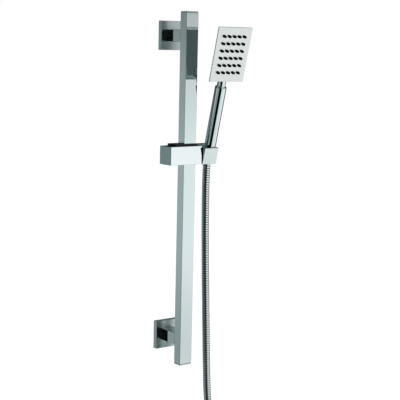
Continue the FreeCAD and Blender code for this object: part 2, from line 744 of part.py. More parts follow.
def make_liner():
    """The tapered plastic seat that the hose's cone nut stands in."""
    long = liner_top + liner_foot
    outer = rod("liner_outer", (socket_x, -socket_ahead, -liner_foot), socket_radius, long)
    inner = taper("liner_inner", (socket_x, -socket_ahead, -liner_foot),
                  socket_radius - liner_rim - liner_taper, socket_radius - liner_rim, long)
    made = keep("holder_liner", cut("liner_cut", outer, inner, hose_slot("liner_slot")))
    lean_out(made, HOLDER_PLACE)


def make_pivot():
    """The pin that the holder tilts on, its clip and the friction washer."""
    left = pin_left()
    pin = rod("pivot_rod", (left, 0, 0), pivot_radius, holder_left + pivot_depth - left, TURN_TO_X)
    centre = rod("pivot_centre", (left, 0, 0), hex_socket, pivot_depth / 2, TURN_TO_X)
    lean_out(keep("pivot_pin", cut("pivot_cut", pin, centre)), HOLDER_PLACE)
    ring = rod("clip_ring", (clip_left(), 0, 0), clip_radius, clip_thick, TURN_TO_X)
    hole = rod("clip_hole", (clip_left(), 0, 0), pivot_radius, clip_thick, TURN_TO_X)
    mouth = box("clip_mouth", (clip_left(), -pivot_radius / 2, 0),
                (clip_thick, pivot_radius, 2 * clip_radius))
    lean_out(keep("pivot_clip", cut("clip_cut", ring, hole, mouth)), HOLDER_PLACE)
    thick = holder_gap - play
    disc = rod("washer_disc", (holder_left - thick, 0, 0), washer_radius, thick, TURN_TO_X)
    eye = rod("washer_eye", (holder_left - thick, 0, 0), pivot_radius, thick, TURN_TO_X)
    lean_out(keep("friction_washer", cut("washer_cut", disc, eye)), HOLDER_PLACE)


# ---------------------------------------------------------------- hand shower (leaning frame)

def make_hand_shower():
    """Handle, waterway and head. The frame's Z is the handle's axis, height 0 at the pivot."""
    made = [make_handle(), make_neck(), make_water_tube(), make_inlet(), make_check_valve(),
            make_strainer(), make_cone_nut(), make_gasket(), make_face_plate(),
            make_nozzle_mat(), make_head_back()]
    made += make_face_screws()
    for solid in made:
        lean_out(solid, HAND_PLACE)


def make_handle():
    """The bright handle tube, closed round the neck at its rounded shoulder."""
    inner = handle_radius - handle_wall
    lid = handle_top - handle_shoulder - handle_wall
    shoulder_bulge = handle_shoulder * (1 - math.sqrt(0.5))
    return turned_piece("handle_tube", [
        (inner, handle_foot), (handle_radius, handle_foot),
        (handle_radius, handle_top - handle_shoulder),
        (handle_radius - shoulder_bulge, handle_top - shoulder_bulge),
        (handle_radius - handle_shoulder, handle_top),
        (neck_radius, handle_top), (neck_radius, lid), (inner, lid)])


def make_neck():
    return turned_piece("neck_tube", [
        (neck_bore, neck_foot), (neck_radius, neck_foot), (neck_radius, neck_top),
        (neck_bore, neck_top)])


def make_water_tube():
    """The plastic tube that carries the water up the handle."""
    foot = handle_foot + inlet_body
    return turned_piece("water_tube", [
        (neck_bore, foot), (neck_bore + water_wall, foot), (neck_bore + water_wall, neck_foot),
        (neck_bore, neck_foot)])


def make_inlet():
    """The brass inlet with the half-inch thread, pressed into the handle's foot."""
    inner = handle_radius - handle_wall
    top = handle_foot + inlet_body
    return turned_piece("inlet_fitting", [
        (inlet_bore, thread_foot), (inlet_thread - inlet_chamfer, thread_foot),
        (inlet_thread, thread_foot + inlet_chamfer), (inlet_thread, handle_foot), (inner, handle_foot),
        (inner, top), (neck_bore, top), (neck_bore, top - inlet_chamfer), (inlet_bore, top - inlet_chamfer)])


def make_check_valve():
    """The non-return cartridge inside the inlet."""
    foot = thread_foot + strainer_thick
    return turned_piece("check_valve", [
        (valve_bore, foot), (inlet_bore, foot), (inlet_bore, foot + valve_length),
        (valve_bore, foot + valve_length)])


def make_strainer():
    """The strainer disc in the inlet's mouth."""
    return turned_piece("strainer_disc", [
        (strainer_bore, thread_foot), (inlet_bore, thread_foot),
        (inlet_bore, thread_foot + strainer_thick), (strainer_bore, thread_foot + strainer_thick)])


def make_cone_nut():
    """The tapered nut that joins the hose to the handle and seats in the holder."""
    top = handle_foot - slip
    shoulder = ferrule_collar - collar_thick - play
    throat = hose_radius + throat_gap
    return turned_piece("cone_nut", [
        (inlet_thread, top), (nut_radius, top), (nut_radius, top - nut_straight),
        (nut_foot_radius, -nut_foot), (throat, -nut_foot), (throat, shoulder),
        (inlet_thread, shoulder)])


def make_gasket():
    """The rubber gasket between the inlet's end and the hose's ferrule."""
    return turned_piece("hose_gasket", [
        (neck_bore, gasket_foot), (collar_radius, gasket_foot), (collar_radius, thread_foot),
        (neck_bore, thread_foot)])


def make_face_plate():
    """The flat face of the head, bored for the nozzles and tapped for its screws."""
    body = new_body("face_plate")
    half = head_wide / 2
    outline = sketch_on(body, "plate_outline", "XZ_Plane", plate_back)
    draw_outline(outline, oblong((-half, head_foot), (half, head_top)))
    raise_pad(body, outline, "plate_pad", plate_thick)
    tapped = sketch_on(body, "plate_screws", "XZ_Plane", plate_back)
    for across, up in face_screw_places():
        draw_circle(tapped, across, up, face_screw_radius)
    sink_pocket(body, tapped, "plate_taps", plate_thick * tap_share, True)
    hole = sketch_on(body, "plate_hole", "XZ_Plane", plate_back)
    draw_circle(hole, first_column, first_row, nozzle_radius + slip)
    bored = sink_pocket(body, hole, "plate_bore", plate_thick, True)
    nozzle_grid(body, bored, outline, "plate_grid")
    return body


def face_screw_places():
    ends = (head_foot + face_screw_end, head_top - face_screw_end)
    return [(side * face_screw_side, end) for side in (-1, 1) for end in ends]


def make_nozzle_mat():
    """The rubber mat behind the face plate, with its nozzles standing through the holes."""
    body = new_body("nozzle_mat")
    sheet = sketch_on(body, "mat_sheet", "XZ_Plane", mat_back)
    draw_outline(sheet, oblong((-mat_side, head_foot + mat_margin), (mat_side, head_top - mat_margin)))
    raise_pad(body, sheet, "mat_pad", mat_thick)
    tip = sketch_on(body, "mat_nozzle", "XZ_Plane", plate_back)
    draw_circle(tip, first_column, first_row, nozzle_radius)
    proud = raise_pad(body, tip, "mat_nozzle_pad", plate_thick + nozzle_proud)
    proud.TaperAngle = -3
    nozzle_grid(body, proud, sheet, "mat_nozzles")
    jet = sketch_on(body, "mat_jet", "XZ_Plane", mat_back)
    draw_circle(jet, first_column, first_row, nozzle_bore)
    bored = sink_pocket(body, jet, "mat_jet_bore", mat_thick + plate_thick + nozzle_proud, True)
    nozzle_grid(body, bored, sheet, "mat_jets")
    return body


def make_head_back():
    """The hollow back shell, with sloping sides and a boss that takes the neck."""
    shell = DOC.addObject("Part::Wedge", "back_wedge")
    half = head_wide / 2 - back_inset
    low, high = head_foot + back_inset, head_top - back_inset
    limits = {"Xmin": -half, "Xmax": half, "Zmin": low, "Zmax": high,
              "X2min": -half + back_slope_side, "X2max": half - back_slope_side,
              "Z2min": low + back_slope_foot, "Z2max": high - back_slope_top,
              "Ymin": -plate_back, "Ymax": back_reach}
    for prop, dim in limits.items():
        bind(shell, prop, dim)
    boss = rod("back_boss", (0, 0, low), boss_radius, boss_top - low)
    dome = ball("back_dome", (0, 0, boss_top), boss_radius)
    gap = slip
    mat_room = box("back_mat_room", (-mat_side - gap, -plate_back, head_foot + mat_margin - gap),
                   (2 * (mat_side + gap), mat_thick, head_high - 2 * (mat_margin - gap)))
    chamber = box("back_chamber", (-chamber_side, -mat_back, chamber_foot),
                  (2 * chamber_side, mat_back + back_reach - chamber_wall,
                   chamber_top - chamber_foot))
    neck_seat = rod("back_neck_seat", (0, 0, low), neck_radius, neck_top - low)
    passage = rod("back_passage", (0, 0, neck_top), neck_bore, boss_top - neck_top)
    holes = []
    for i, (across, up) in enumerate(face_screw_places()):
        holes.append(rod("back_shank_hole_%d" % i, (across, -plate_back, up), face_screw_radius,
                         plate_back, TURN_TO_Y))
        holes.append(rod("back_head_hole_%d" % i, (across, -screw_seat(), up),
                         face_screw_head + slip, plate_back, TURN_TO_Y))
    return keep("head_back", cut("back_cut", fuse("back_fuse", shell, boss, dome), mat_room, chamber,
                                 neck_seat, passage, *holes))


def screw_seat():
    """How far in front of the handle's axis the face screws' heads sit."""
    return plate_back - screw_seat_deep


def make_face_screws():
    """The four screws that hold the face plate from behind."""
    made = []
    names = ("left_low", "left_high", "right_low", "right_high")
    for name, (across, up) in zip(names, face_screw_places()):
        node = "face_screw_" + name
        tip = plate_back + plate_thick * tap_share
        shank = rod(node + "_shank", (across, -tip, up), face_screw_radius, tip - screw_seat(),
                    TURN_TO_Y)
        head = rod(node + "_head", (across, -screw_seat(), up), face_screw_head, face_screw_high,
                   TURN_TO_Y)
        deep = face_screw_high / 2
        cross = rod(node + "_cross", (across, deep - screw_seat(), up), face_screw_radius, deep,
                    TURN_TO_Y)
        made.append(keep(node, cut(node + "_cut", fuse(node + "_fuse", shank, head), cross)))
    return made


# ---------------------------------------------------------------- hose

# The hose hangs from the cone nut, drifts a little out from the wall, and its spare length
# is wound into a round coil below. The last point here is where the coil starts.
HOSE_ROUTE = [
    (44.0, -61.4, -232.7),
    (44.0, -59.6, -262.0),
    (44.0, -60.2, -312.0),
    (44.0, -61.8, -372.0),
    (44.0, -64.8, -436.0),
    (44.0, -68.4, -502.0),
    (44.0, -72.2, -566.0),
    (44.0, -76.4, -622.0),
    (44.0, -82.0, -662.0),
    (44.0, -87.6, -696.0),
    (34.2, -91.8, -732.7),
    (15.2, -94.4, -765.6),
    (-11.7, -95.0, -792.5),
]
COIL_MIDDLE = Vector(46.3, -95.0, -850.5)
COIL_START = 135
COIL_END = 45
LONE_END = 90
END_AHEAD = 22
END_STRETCH = 35
TIE_ANGLES = (150, 300)


def cord_path(points):
    """Straight runs joined by arcs as large as the runs allow, and the arcs' radii."""
    corners = [Vector(*p) for p in points]
    edges, radii = [], []
    start = corners[0]
    for before, corner, after in zip(corners, corners[1:], corners[2:]):
        back = (before - corner).normalize()
        ahead = (after - corner).normalize()
        reach = 0.45 * min((before - corner).Length, (after - corner).Length)
        half_turn = (math.pi - back.getAngle(ahead)) / 2
        radius = reach / math.tan(half_turn)
        enter, leave = corner + back * reach, corner + ahead * reach
        inward = (back + ahead).normalize()
        middle = corner + inward * (radius / math.cos(half_turn) - radius)
        edges.append(Part.LineSegment(start, enter).toShape())
        edges.append(Part.Arc(enter, middle, leave).toShape())
        radii.append(radius)
        start = leave
    edges.append(Part.LineSegment(start, corners[-1]).toShape())
    return Part.Wire(edges), radii


def make_hose_tube():
    """The hanging stretch of the hose, with a round top that flexes in the ferrule."""
    path, radii = cord_path(HOSE_ROUTE)
    start, heading = Vector(*HOSE_ROUTE[0]), Vector(*HOSE_ROUTE[1]) - Vector(*HOSE_ROUTE[0])
    section = Part.Wire(Part.makeCircle(float(hose_radius), start, heading))
    tube = path.makePipeShell([section], True, True)
    expected = math.pi * float(hose_radius) ** 2 * path.Length
    print("hose arcs, radii in mm:", ", ".join("%.0f" % r for r in radii))
    print("hose tube %.1f mm long, volume over expected %.4f" % (path.Length, tube.Volume / expected))
    top = Part.makeSphere(float(hose_radius - pin_play), start)
    made = DOC.addObject("Part::Feature", "hose_tube_solid")
    made.Shape = tube.fuse(top).removeSplitter()
    keep("hose_tube", made)
    turns = (360 + COIL_END - COIL_START + 360) / 360
    wound = turns * 2 * math.pi * float(coil_radius)
    print("wound %.1f mm in %.2f turns, whole hose %.0f mm"
          % (wound, turns, path.Length + wound + float(tail_long)))


def ring_part(section, angle_from, angle_to):
    """Turns a section, drawn on the coil's right, about the coil's middle."""
    solid = section.revolve(COIL_MIDDLE, Vector(0, -1, 0), angle_to - angle_from)
    solid.rotate(COIL_MIDDLE, Vector(0, -1, 0), angle_from)
    return solid


def strand_section(depth):
    """A section as wide as the hose, for strands that lie side by side."""
    r = float(hose_radius)
    across = COIL_MIDDLE.x + float(coil_radius)
    near, far, z = COIL_MIDDLE.y, COIL_MIDDLE.y - depth, COIL_MIDDLE.z
    edges = [Part.Arc(Vector(across - r, near, z), Vector(across, near + r, z),
                      Vector(across + r, near, z)).toShape(),
             Part.LineSegment(Vector(across + r, near, z), Vector(across + r, far, z)).toShape(),
             Part.Arc(Vector(across + r, far, z), Vector(across, far - r, z),
                      Vector(across - r, far, z)).toShape(),
             Part.LineSegment(Vector(across - r, far, z), Vector(across - r, near, z)).toShape()]
    return Part.Face(Part.Wire(edges))


def lone_section():
    """The section of one strand."""
    middle = COIL_MIDDLE + Vector(float(coil_radius), 0, 0)
    return Part.Face(Part.Wire(Part.makeCircle(float(hose_radius), middle, Vector(0, 0, 1))))


def make_coil():
    """The spare hose: two strands deep, one strand at the top, and its end drawn forward."""
    forward = COIL_END + 360 - END_STRETCH
    double = ring_part(strand_section(2 * float(hose_radius)), LONE_END, forward)
    drawn = ring_part(strand_section(END_AHEAD), forward, COIL_END + 360)
    lone = ring_part(lone_section(), COIL_END, LONE_END)
    made = DOC.addObject("Part::Feature", "hose_coil_solid")
    made.Shape = double.fuse([drawn, lone])
    keep("hose_coil", made)


def coil_frame(angle, ahead):
    """A frame on the coil: Z along the strand, X away from the coil's middle."""
    rad = math.radians(angle)
    out = Vector(math.cos(rad), 0, math.sin(rad))
    along = Vector(-math.sin(rad), 0, math.cos(rad))
    place = COIL_MIDDLE + out * float(coil_radius) + Vector(0, -ahead, 0)
    return Placement(place, Rotation(out, Vector(0, -1, 0), along, "ZXY"))


def make_ties():
    """Two straps that hold the strands together."""
    for node, angle in zip(("coil_tie_left", "coil_tie_right"), TIE_ANGLES):
        inner = (2 * (hose_radius + tie_gap), 2 * (2 * hose_radius + tie_gap))
        outer = (inner[0] + 2 * tie_thick, inner[1] + 2 * tie_thick)
        strap = box(node + "_outer", (-outer[0] / 2, -outer[1] / 2, -tie_wide / 2),
                    (outer[0], outer[1], tie_wide))
        rounded = soften(node + "_rounded", strap, tie_thick, lambda edge: runs_along(edge, 2))
        hole = box(node + "_inner", (-inner[0] / 2, -inner[1] / 2, -tie_wide / 2),
                   (inner[0], inner[1], tie_wide))
        tie = keep(node, cut(node + "_cut", rounded, hole))
        tie.Placement = coil_frame(angle, float(hose_radius))


def make_upper_ferrule():
    """The crimped end of the hose that the cone nut turns on."""
    top, foot = ferrule_collar, ferrule_foot
    under = top - collar_thick
    sleeve = hose_radius + slip * 2
    lean_out(turned_piece("upper_ferrule", [
        (hose_bore, foot), (sleeve, foot), (sleeve, under), (collar_radius, under),
        (collar_radius, top), (hose_bore, top)]), HAND_PLACE)


def make_wall_end():
    """The ferrule, gasket and hexagon nut at the end that goes to the wall outlet."""
    frame = coil_frame(COIL_END, END_AHEAD)
    collar_foot = tail_long - collar_thick
    ferrule = turned_piece("wall_ferrule", [
        (hose_bore, 0), (tail_radius, 0), (tail_radius, collar_foot), (collar_radius, collar_foot),
        (collar_radius, tail_long), (hose_bore, tail_long)])
    gasket = turned_piece("wall_gasket", [
        (neck_bore, tail_long), (collar_radius, tail_long),
        (collar_radius, tail_long + gasket_thick), (neck_bore, tail_long + gasket_thick)])
    foot = collar_foot - play - nut_lip
    nut = new_body("wall_nut")
    outline = sketch_on(nut, "nut_outline", "XY_Plane", foot)
    reach = hex_flats / 2
    corner = hex_flats / math.sqrt(3)
    draw_outline(outline, [(-corner / 2, -reach), (corner / 2, -reach), (corner, 0),
                           (corner / 2, reach), (-corner / 2, reach), (-corner, 0)])
    raise_pad(nut, outline, "nut_pad", hex_long)
    thread = sketch_on(nut, "nut_thread", "XY_Plane", tail_long + gasket_thick + slip)
    draw_circle(thread, 0, 0, inlet_thread)
    sink_pocket(nut, thread, "nut_bore", hex_long, True)
    seat = sketch_on(nut, "nut_seat", "XY_Plane", foot + nut_lip)
    draw_circle(seat, 0, 0, collar_radius + play)
    sink_pocket(nut, seat, "nut_seat_bore", hex_long, True)
    throat = sketch_on(nut, "nut_throat", "XY_Plane", foot)
    draw_circle(throat, 0, 0, tail_radius + play)
    sink_pocket(nut, throat, "nut_throat_bore", hex_long, True)
    for made in (ferrule, gasket, nut):
        made.Placement = frame


# ---------------------------------------------------------------- build, check and write

def build():
    make_rail()
    make_bracket("upper", as_dim(0))
    make_bracket("lower", bracket_gap)
    make_slider()
    make_holder()
    make_hand_shower()
    make_upper_ferrule()
    make_hose_tube()
    make_coil()
    make_ties()
    make_wall_end()
    DOC.recompute()


def check():
    """Refuses a document with a failed object or a piece that isn't one valid solid."""
    for made in DOC.Objects:
        if {"Invalid", "Error"} & set(made.State):
            raise RuntimeError("%s (%s) failed" % (made.Name, made.Label))
    for node, solid in PIECES.items():
        shape = solid.Shape
        if shape.isNull() or not shape.isValid() or len(shape.Solids) != 1:
            raise RuntimeError("%s isn't one valid solid" % node)


def write():
    os.makedirs("parts", exist_ok=True)
    for node, solid in PIECES.items():
        solid.Shape.exportStep(os.path.join("parts", node + ".step"))
    print("%d pieces written" % len(PIECES))


build()
check()
write()
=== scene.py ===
"""Looks of a wall slide rail with its hand shower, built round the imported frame.

Metres, in the frame's own axes: X runs to the right along the wall, -Y comes out of the
wall and Z is up. Leaning pieces are modelled upright about the handle's axis and then
leaned out from the wall as the holder is.
"""
import json
import logging
import math
from dataclasses import dataclass, field
from enum import Enum
from typing import Callable, Iterable, Sequence

import bpy
from bpy.types import Material, Node, NodeTree, Object, ShaderNodeTree
from mathutils import Matrix, Vector


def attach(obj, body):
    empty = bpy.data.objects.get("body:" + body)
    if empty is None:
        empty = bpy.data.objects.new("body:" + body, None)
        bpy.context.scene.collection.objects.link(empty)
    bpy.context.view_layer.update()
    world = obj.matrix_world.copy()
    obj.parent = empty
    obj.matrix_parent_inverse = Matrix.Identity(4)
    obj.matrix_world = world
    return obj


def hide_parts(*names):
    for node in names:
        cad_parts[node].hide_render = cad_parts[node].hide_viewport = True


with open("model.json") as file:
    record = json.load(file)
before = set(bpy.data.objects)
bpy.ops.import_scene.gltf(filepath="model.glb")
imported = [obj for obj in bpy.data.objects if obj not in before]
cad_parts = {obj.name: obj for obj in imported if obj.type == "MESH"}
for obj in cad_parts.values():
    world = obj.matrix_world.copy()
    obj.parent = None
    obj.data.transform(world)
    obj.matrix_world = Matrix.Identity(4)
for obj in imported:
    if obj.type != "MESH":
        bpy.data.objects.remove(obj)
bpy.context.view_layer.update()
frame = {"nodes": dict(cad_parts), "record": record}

LOG = logging.getLogger("shower_set")
MM = 0.001
TOUCHING = 1e-6
FACING = 0.99
WHOLE_TURN = 360.0
HALF_TURN = 180.0
Colour = tuple[float, float, float]
Point = Sequence[float]
Profile = Sequence[tuple[float, float]]
Socket = bpy.types.NodeSocket


# ------------------------------------------------------------------ frame facts

@dataclass(frozen=True)
class Lean:
    """The frame that leans out from the wall with the holder and the handle."""

    degrees: float = 14.6
    grip: Vector = Vector((0.044, -0.065774, -0.215764))

    def matrix(self) -> Matrix:
        """Takes upright pieces, with the handle's axis on Z, to their leaning place."""
        return Matrix.Translation(self.grip) @ Matrix.Rotation(math.radians(self.degrees), 4, "X")


LEAN = Lean()


# ------------------------------------------------------------------ modelling by hand

class Bench:
    """Modelling steps made with Blender's own operators."""

    @staticmethod
    def clear() -> None:
        """Leaves nothing selected."""
        bpy.ops.object.select_all(action="DESELECT")

    @staticmethod
    def grab(piece: Object) -> None:
        """Makes one piece the selected and active one."""
        Bench.clear()
        piece.select_set(True)
        bpy.context.view_layer.objects.active = piece

    @staticmethod
    def named(name: str) -> Object:
        """Names the primitive that was just added.

        Args:
            name: the piece's name.

        Returns:
            The new piece, with its size applied.
        """
        piece = bpy.context.active_object
        piece.name = name
        piece.data.name = name
        bpy.ops.object.transform_apply(location=True, rotation=True, scale=True)
        return piece

    @staticmethod
    def block(name: str, low: Point, high: Point) -> Object:
        """A block between two opposite corners.

        Args:
            name: the piece's name.
            low: its lowest corner.
            high: its highest corner.

        Returns:
            The new block.
        """
        Bench.clear()
        low, high = Vector(low), Vector(high)
        bpy.ops.mesh.primitive_cube_add(size=1, location=(low + high) / 2, scale=high - low)
        return Bench.named(name)

    @staticmethod
    def rod(name: str, start: Point, end: Point, radius: float, sides: int) -> Object:
        """A straight round bar between two points.

        Args:
            name: the bar's name.
            start: the middle of one end.
            end: the middle of the other end.
            radius: its radius.
            sides: faces round the bar.

        Returns:
            The new bar.
        """
        Bench.clear()
        start, end = Vector(start), Vector(end)
        along = end - start
        bpy.ops.mesh.primitive_cylinder_add(
            vertices=sides, radius=radius, depth=along.length, location=(start + end) / 2,
            rotation=along.to_track_quat("Z", "Y").to_euler())
        return Bench.named(name)

    @staticmethod
    def pick(piece: Object, wanted: Callable[[bpy.types.MeshPolygon], bool]) -> None:
        """Selects the faces that a test picks out, and opens edit mode on them.

        Args:
            piece: the piece to open.
            wanted: the test that a face has to pass.
        """
        Bench.grab(piece)
        bpy.ops.object.mode_set(mode="EDIT")
        bpy.ops.mesh.select_mode(type="FACE")
        bpy.ops.mesh.select_all(action="DESELECT")
        bpy.ops.object.mode_set(mode="OBJECT")
        for face in piece.data.polygons:
            face.select = wanted(face)
        bpy.ops.object.mode_set(mode="EDIT")

    @staticmethod
    def done() -> None:
        """Closes edit mode."""
        bpy.ops.object.mode_set(mode="OBJECT")

    @staticmethod
    def sink(piece: Object, way: Point, wall: float, depth: float) -> None:
        """Hollows a piece from its outermost face on one side.

        Args:
            piece: the piece to hollow.
            way: the direction that the face looks in.
            wall: the wall left round the hollow.
            depth: how deep the hollow goes.
        """
        way = Vector(way)
        far = max(face.center.dot(way) for face in piece.data.polygons)
        Bench.pick(piece, lambda face: face.normal.dot(way) > FACING
                   and face.center.dot(way) > far - TOUCHING)
        bpy.ops.mesh.inset(thickness=wall, depth=0)
        bpy.ops.mesh.extrude_region_move(TRANSFORM_OT_translate={"value": -way * depth})
        Bench.done()

    @staticmethod
    def turned(name: str, profile: Profile, sides: int = 96) -> Object:
        """A round piece, drawn out ring by ring along Z.

        Args:
            name: the piece's name.
            profile: radius and height of each ring, in millimetres, round the wall's outline.
            sides: faces round the piece.

        Returns:
            A closed wall turned round Z.
        """
        Bench.clear()
        radius, height = profile[0]
        bpy.ops.mesh.primitive_circle_add(vertices=sides, radius=radius * MM,
                                          location=(0, 0, height * MM))
        piece = Bench.named(name)
        bpy.ops.object.mode_set(mode="EDIT")
        bpy.ops.mesh.select_mode(type="VERT")
        bpy.ops.mesh.select_all(action="SELECT")
        for next_radius, next_height in [*profile[1:], profile[0]]:
            bpy.ops.mesh.extrude_region_move(
                TRANSFORM_OT_translate={"value": (0, 0, (next_height - height) * MM)})
            grow = next_radius / radius
            bpy.ops.transform.resize(value=(grow, grow, 1), center_override=(0, 0, 0))
            radius, height = next_radius, next_height
        bpy.ops.mesh.select_all(action="SELECT")
        bpy.ops.mesh.remove_doubles(threshold=TOUCHING)
        bpy.ops.mesh.normals_make_consistent(inside=False)
        Bench.done()
        return piece

    @staticmethod
    def round_edges(piece: Object, width: float, segments: int = 4, angle: float = 30) -> None:
        """Rounds every edge that turns by more than an angle.

        Args:
            piece: the piece to round.
            width: how far the rounding reaches from the edge.
            segments: faces across the rounding.
            angle: the least turn of an edge that is rounded, in degrees.
        """
        bevel = piece.modifiers.new("rounding", "BEVEL")
        bevel.width = width
        bevel.segments = segments
        bevel.limit_method = "ANGLE"
        bevel.angle_limit = math.radians(angle)
        Bench.apply(piece)

    @staticmethod
    def carve(piece: Object, *tools: Object) -> None:
        """Takes every tool out of a piece, and the tools away.

        Args:
            piece: the piece to carve.
            tools: the shapes to take out of it.
        """
        for tool in tools:
            cut = piece.modifiers.new("carving", "BOOLEAN")
            cut.operation = "DIFFERENCE"
            cut.solver = "EXACT"
            cut.object = tool
            Bench.apply(piece)
            bpy.data.objects.remove(tool)

    @staticmethod
    def weld(name: str, *parts: Object) -> Object:
        """Makes several parts one piece.

        Args:
            name: the new piece's name.
            parts: the parts, the first of which takes in the others.

        Returns:
            The joined piece.
        """
        Bench.clear()
        for part in parts:
            part.select_set(True)
        bpy.context.view_layer.objects.active = parts[0]
        bpy.ops.object.join()
        parts[0].name = name
        return parts[0]

    @staticmethod
    def apply(piece: Object) -> None:
        """Applies every modifier of a piece."""
        Bench.grab(piece)
        for modifier in list(piece.modifiers):
            bpy.ops.object.modifier_apply(modifier=modifier.name)

    @staticmethod
    def place(piece: Object, matrix: Matrix) -> None:
        """Moves a piece to its place and applies it.

        Args:
            piece: the piece to move.
            matrix: its place.
        """
        Bench.grab(piece)
        piece.matrix_world = matrix
        bpy.ops.object.transform_apply(location=True, rotation=True, scale=True)

    @staticmethod
    def smooth(piece: Object, angle: float = 40) -> None:
        """Smooths the shading of a piece's rounded faces and keeps its flats flat.

        Args:
            piece: the piece to shade.
            angle: the turn above which an edge stays sharp, in degrees.
        """
        Bench.grab(piece)
        bpy.ops.object.shade_smooth_by_angle(angle=math.radians(angle))
        weights = piece.modifiers.new("flats", "WEIGHTED_NORMAL")
        weights.keep_sharp = True
        Bench.apply(piece)


# ------------------------------------------------------------------ finishes

class Effect:
    """Shader node groups that more than one finish uses."""

    @staticmethod
    def group(name: str, inputs: dict[str, float], outputs: Iterable[str]) -> NodeTree:
        """An empty node group with number sockets.

        Args:
            name: the group's name.
            inputs: its inputs and their defaults.
            outputs: its outputs.

        Returns:
            The new group.
        """
        tree = bpy.data.node_groups.new(name, "ShaderNodeTree")
        tree.interface.new_socket("Vector", in_out="INPUT", socket_type="NodeSocketVector")
        for label, value in inputs.items():
            socket = tree.interface.new_socket(label, in_out="INPUT",
                                               socket_type="NodeSocketFloat")
            socket.default_value = value
        for label in outputs:
            tree.interface.new_socket(label, in_out="OUTPUT", socket_type="NodeSocketFloat")
        return tree

    @staticmethod
    def polish() -> NodeTree:
        """Faint smears and hairlines of a polished surface that is wiped by hand."""
        name = "polish_wear"
        if name in bpy.data.node_groups:
            return bpy.data.node_groups[name]
        tree = Effect.group(name, {"Smear": 0.02, "Base": 0.05}, ["Roughness", "Height"])
        wires = Wires(tree)
        source = wires.add("NodeGroupInput")
        sink = wires.add("NodeGroupOutput")
        cloud = wires.add("ShaderNodeTexNoise", Scale=28, Detail=4, Roughness=0.55)
        wires.join(source, "Vector", cloud, "Vector")
        stretch = wires.add("ShaderNodeMapping")
        stretch.inputs["Scale"].default_value = (900, 900, 60)
        wires.join(source, "Vector", stretch, "Vector")
        hair = wires.add("ShaderNodeTexNoise", Scale=1, Detail=2, Roughness=0.5)
        wires.join(stretch, "Vector", hair, "Vector")
        smear = wires.maths("MULTIPLY", cloud.outputs["Fac"], source.outputs["Smear"])
        rough = wires.maths("ADD", smear, source.outputs["Base"])
        tree.links.new(rough, sink.inputs["Roughness"])
        tree.links.new(hair.outputs["Fac"], sink.inputs["Height"])
        return tree

    @staticmethod
    def grain() -> NodeTree:
        """The fine spark-eroded grain of a moulded surface, with paler rubbed patches."""
        name = "moulded_grain"
        if name in bpy.data.node_groups:
            return bpy.data.node_groups[name]
        tree = Effect.group(name, {"Grain": 2500, "Patch": 60}, ["Mask", "Height"])
        wires = Wires(tree)
        source = wires.add("NodeGroupInput")
        sink = wires.add("NodeGroupOutput")
        fine = wires.add("ShaderNodeTexNoise", Detail=2, Roughness=0.6)
        patch = wires.add("ShaderNodeTexNoise", Detail=3, Roughness=0.5)
        for node, label in ((fine, "Grain"), (patch, "Patch")):
            wires.join(source, "Vector", node, "Vector")
            wires.join(source, label, node, "Scale")
        tree.links.new(patch.outputs["Fac"], sink.inputs["Mask"])
        tree.links.new(fine.outputs["Fac"], sink.inputs["Height"])
        return tree


class Wires:
    """Adds nodes to a tree and joins them."""

    def __init__(self, tree: ShaderNodeTree) -> None:
        """Keeps the tree."""
        self.tree = tree

    def add(self, kind: str, **values: float) -> Node:
        """A node with values set on its inputs, by name.

        Args:
            kind: the node's type.
            values: a value for each named input.

        Returns:
            The new node.
        """
        node = self.tree.nodes.new(kind)
        for label, value in values.items():
            node.inputs[label.replace("_", " ")].default_value = value
        return node

    def join(self, start: Node, output: str, end: Node, label: str) -> None:
        """Joins an output to an input."""
        self.tree.links.new(start.outputs[output], end.inputs[label])

    def maths(self, operation: str, *values: Socket | float) -> Socket:
        """A Math node on sockets or numbers.

        Args:
            operation: what the node does.
            values: its inputs in order.

        Returns:
            The node's result.
        """
        node = self.tree.nodes.new("ShaderNodeMath")
        node.operation = operation
        for slot, value in zip(node.inputs, values):
            if isinstance(value, Socket):
                self.tree.links.new(value, slot)
            else:
                slot.default_value = value
        return node.outputs["Value"]

    def blend(self, mask: Socket, first: Colour, second: Colour) -> Socket:
        """A colour between two, by a mask.

        Args:
            mask: 0 for the first colour and 1 for the second.
            first: one colour.
            second: the other colour.

        Returns:
            The blended colour.
        """
        node = self.tree.nodes.new("ShaderNodeMix")
        node.data_type = "RGBA"
        node.inputs["A"].default_value = (*first, 1)
        node.inputs["B"].default_value = (*second, 1)
        self.tree.links.new(mask, node.inputs["Factor"])
        return node.outputs["Result"]


@dataclass(frozen=True)
class Finish:
    """A finish: a Principled surface whose colour, gloss and bump come from its nodes."""

    name: str

    def start(self) -> tuple[Material, Wires, Node, Node]:
        """A material with its shader and its Object coordinates."""
        material = bpy.data.materials.new(self.name)
        material.use_nodes = True
        wires = Wires(material.node_tree)
        shader = material.node_tree.nodes["Principled BSDF"]
        return material, wires, shader, wires.add("ShaderNodeTexCoord")

    def place_group(self, wires: Wires, tree: NodeTree, coords: Node, **values: float) -> Node:
        """Places a shared effect and gives it this finish's own values.

        Args:
            wires: the material's wiring.
            tree: the shared effect.
            coords: the material's coordinates.
            values: a value for each named input.

        Returns:
            The effect's node.
        """
        node = wires.tree.nodes.new("ShaderNodeGroup")
        node.node_tree = tree
        wires.join(coords, "Object", node, "Vector")
        for label, value in values.items():
            node.inputs[label].default_value = value
        return node

    def bump(self, wires: Wires, height: Socket, strength: float, depth: float,
             shader: Node) -> None:
        """Raises a height on the shader's normal.

        Args:
            wires: the material's wiring.
            height: the height that is raised.
            strength: how strongly it shows.
            depth: how high it stands, in metres.
            shader: the shader whose normal it sets.
        """
        node = wires.add("ShaderNodeBump", Strength=strength, Distance=depth)
        wires.tree.links.new(height, node.inputs["Height"])
        wires.join(node, "Normal", shader, "Normal")


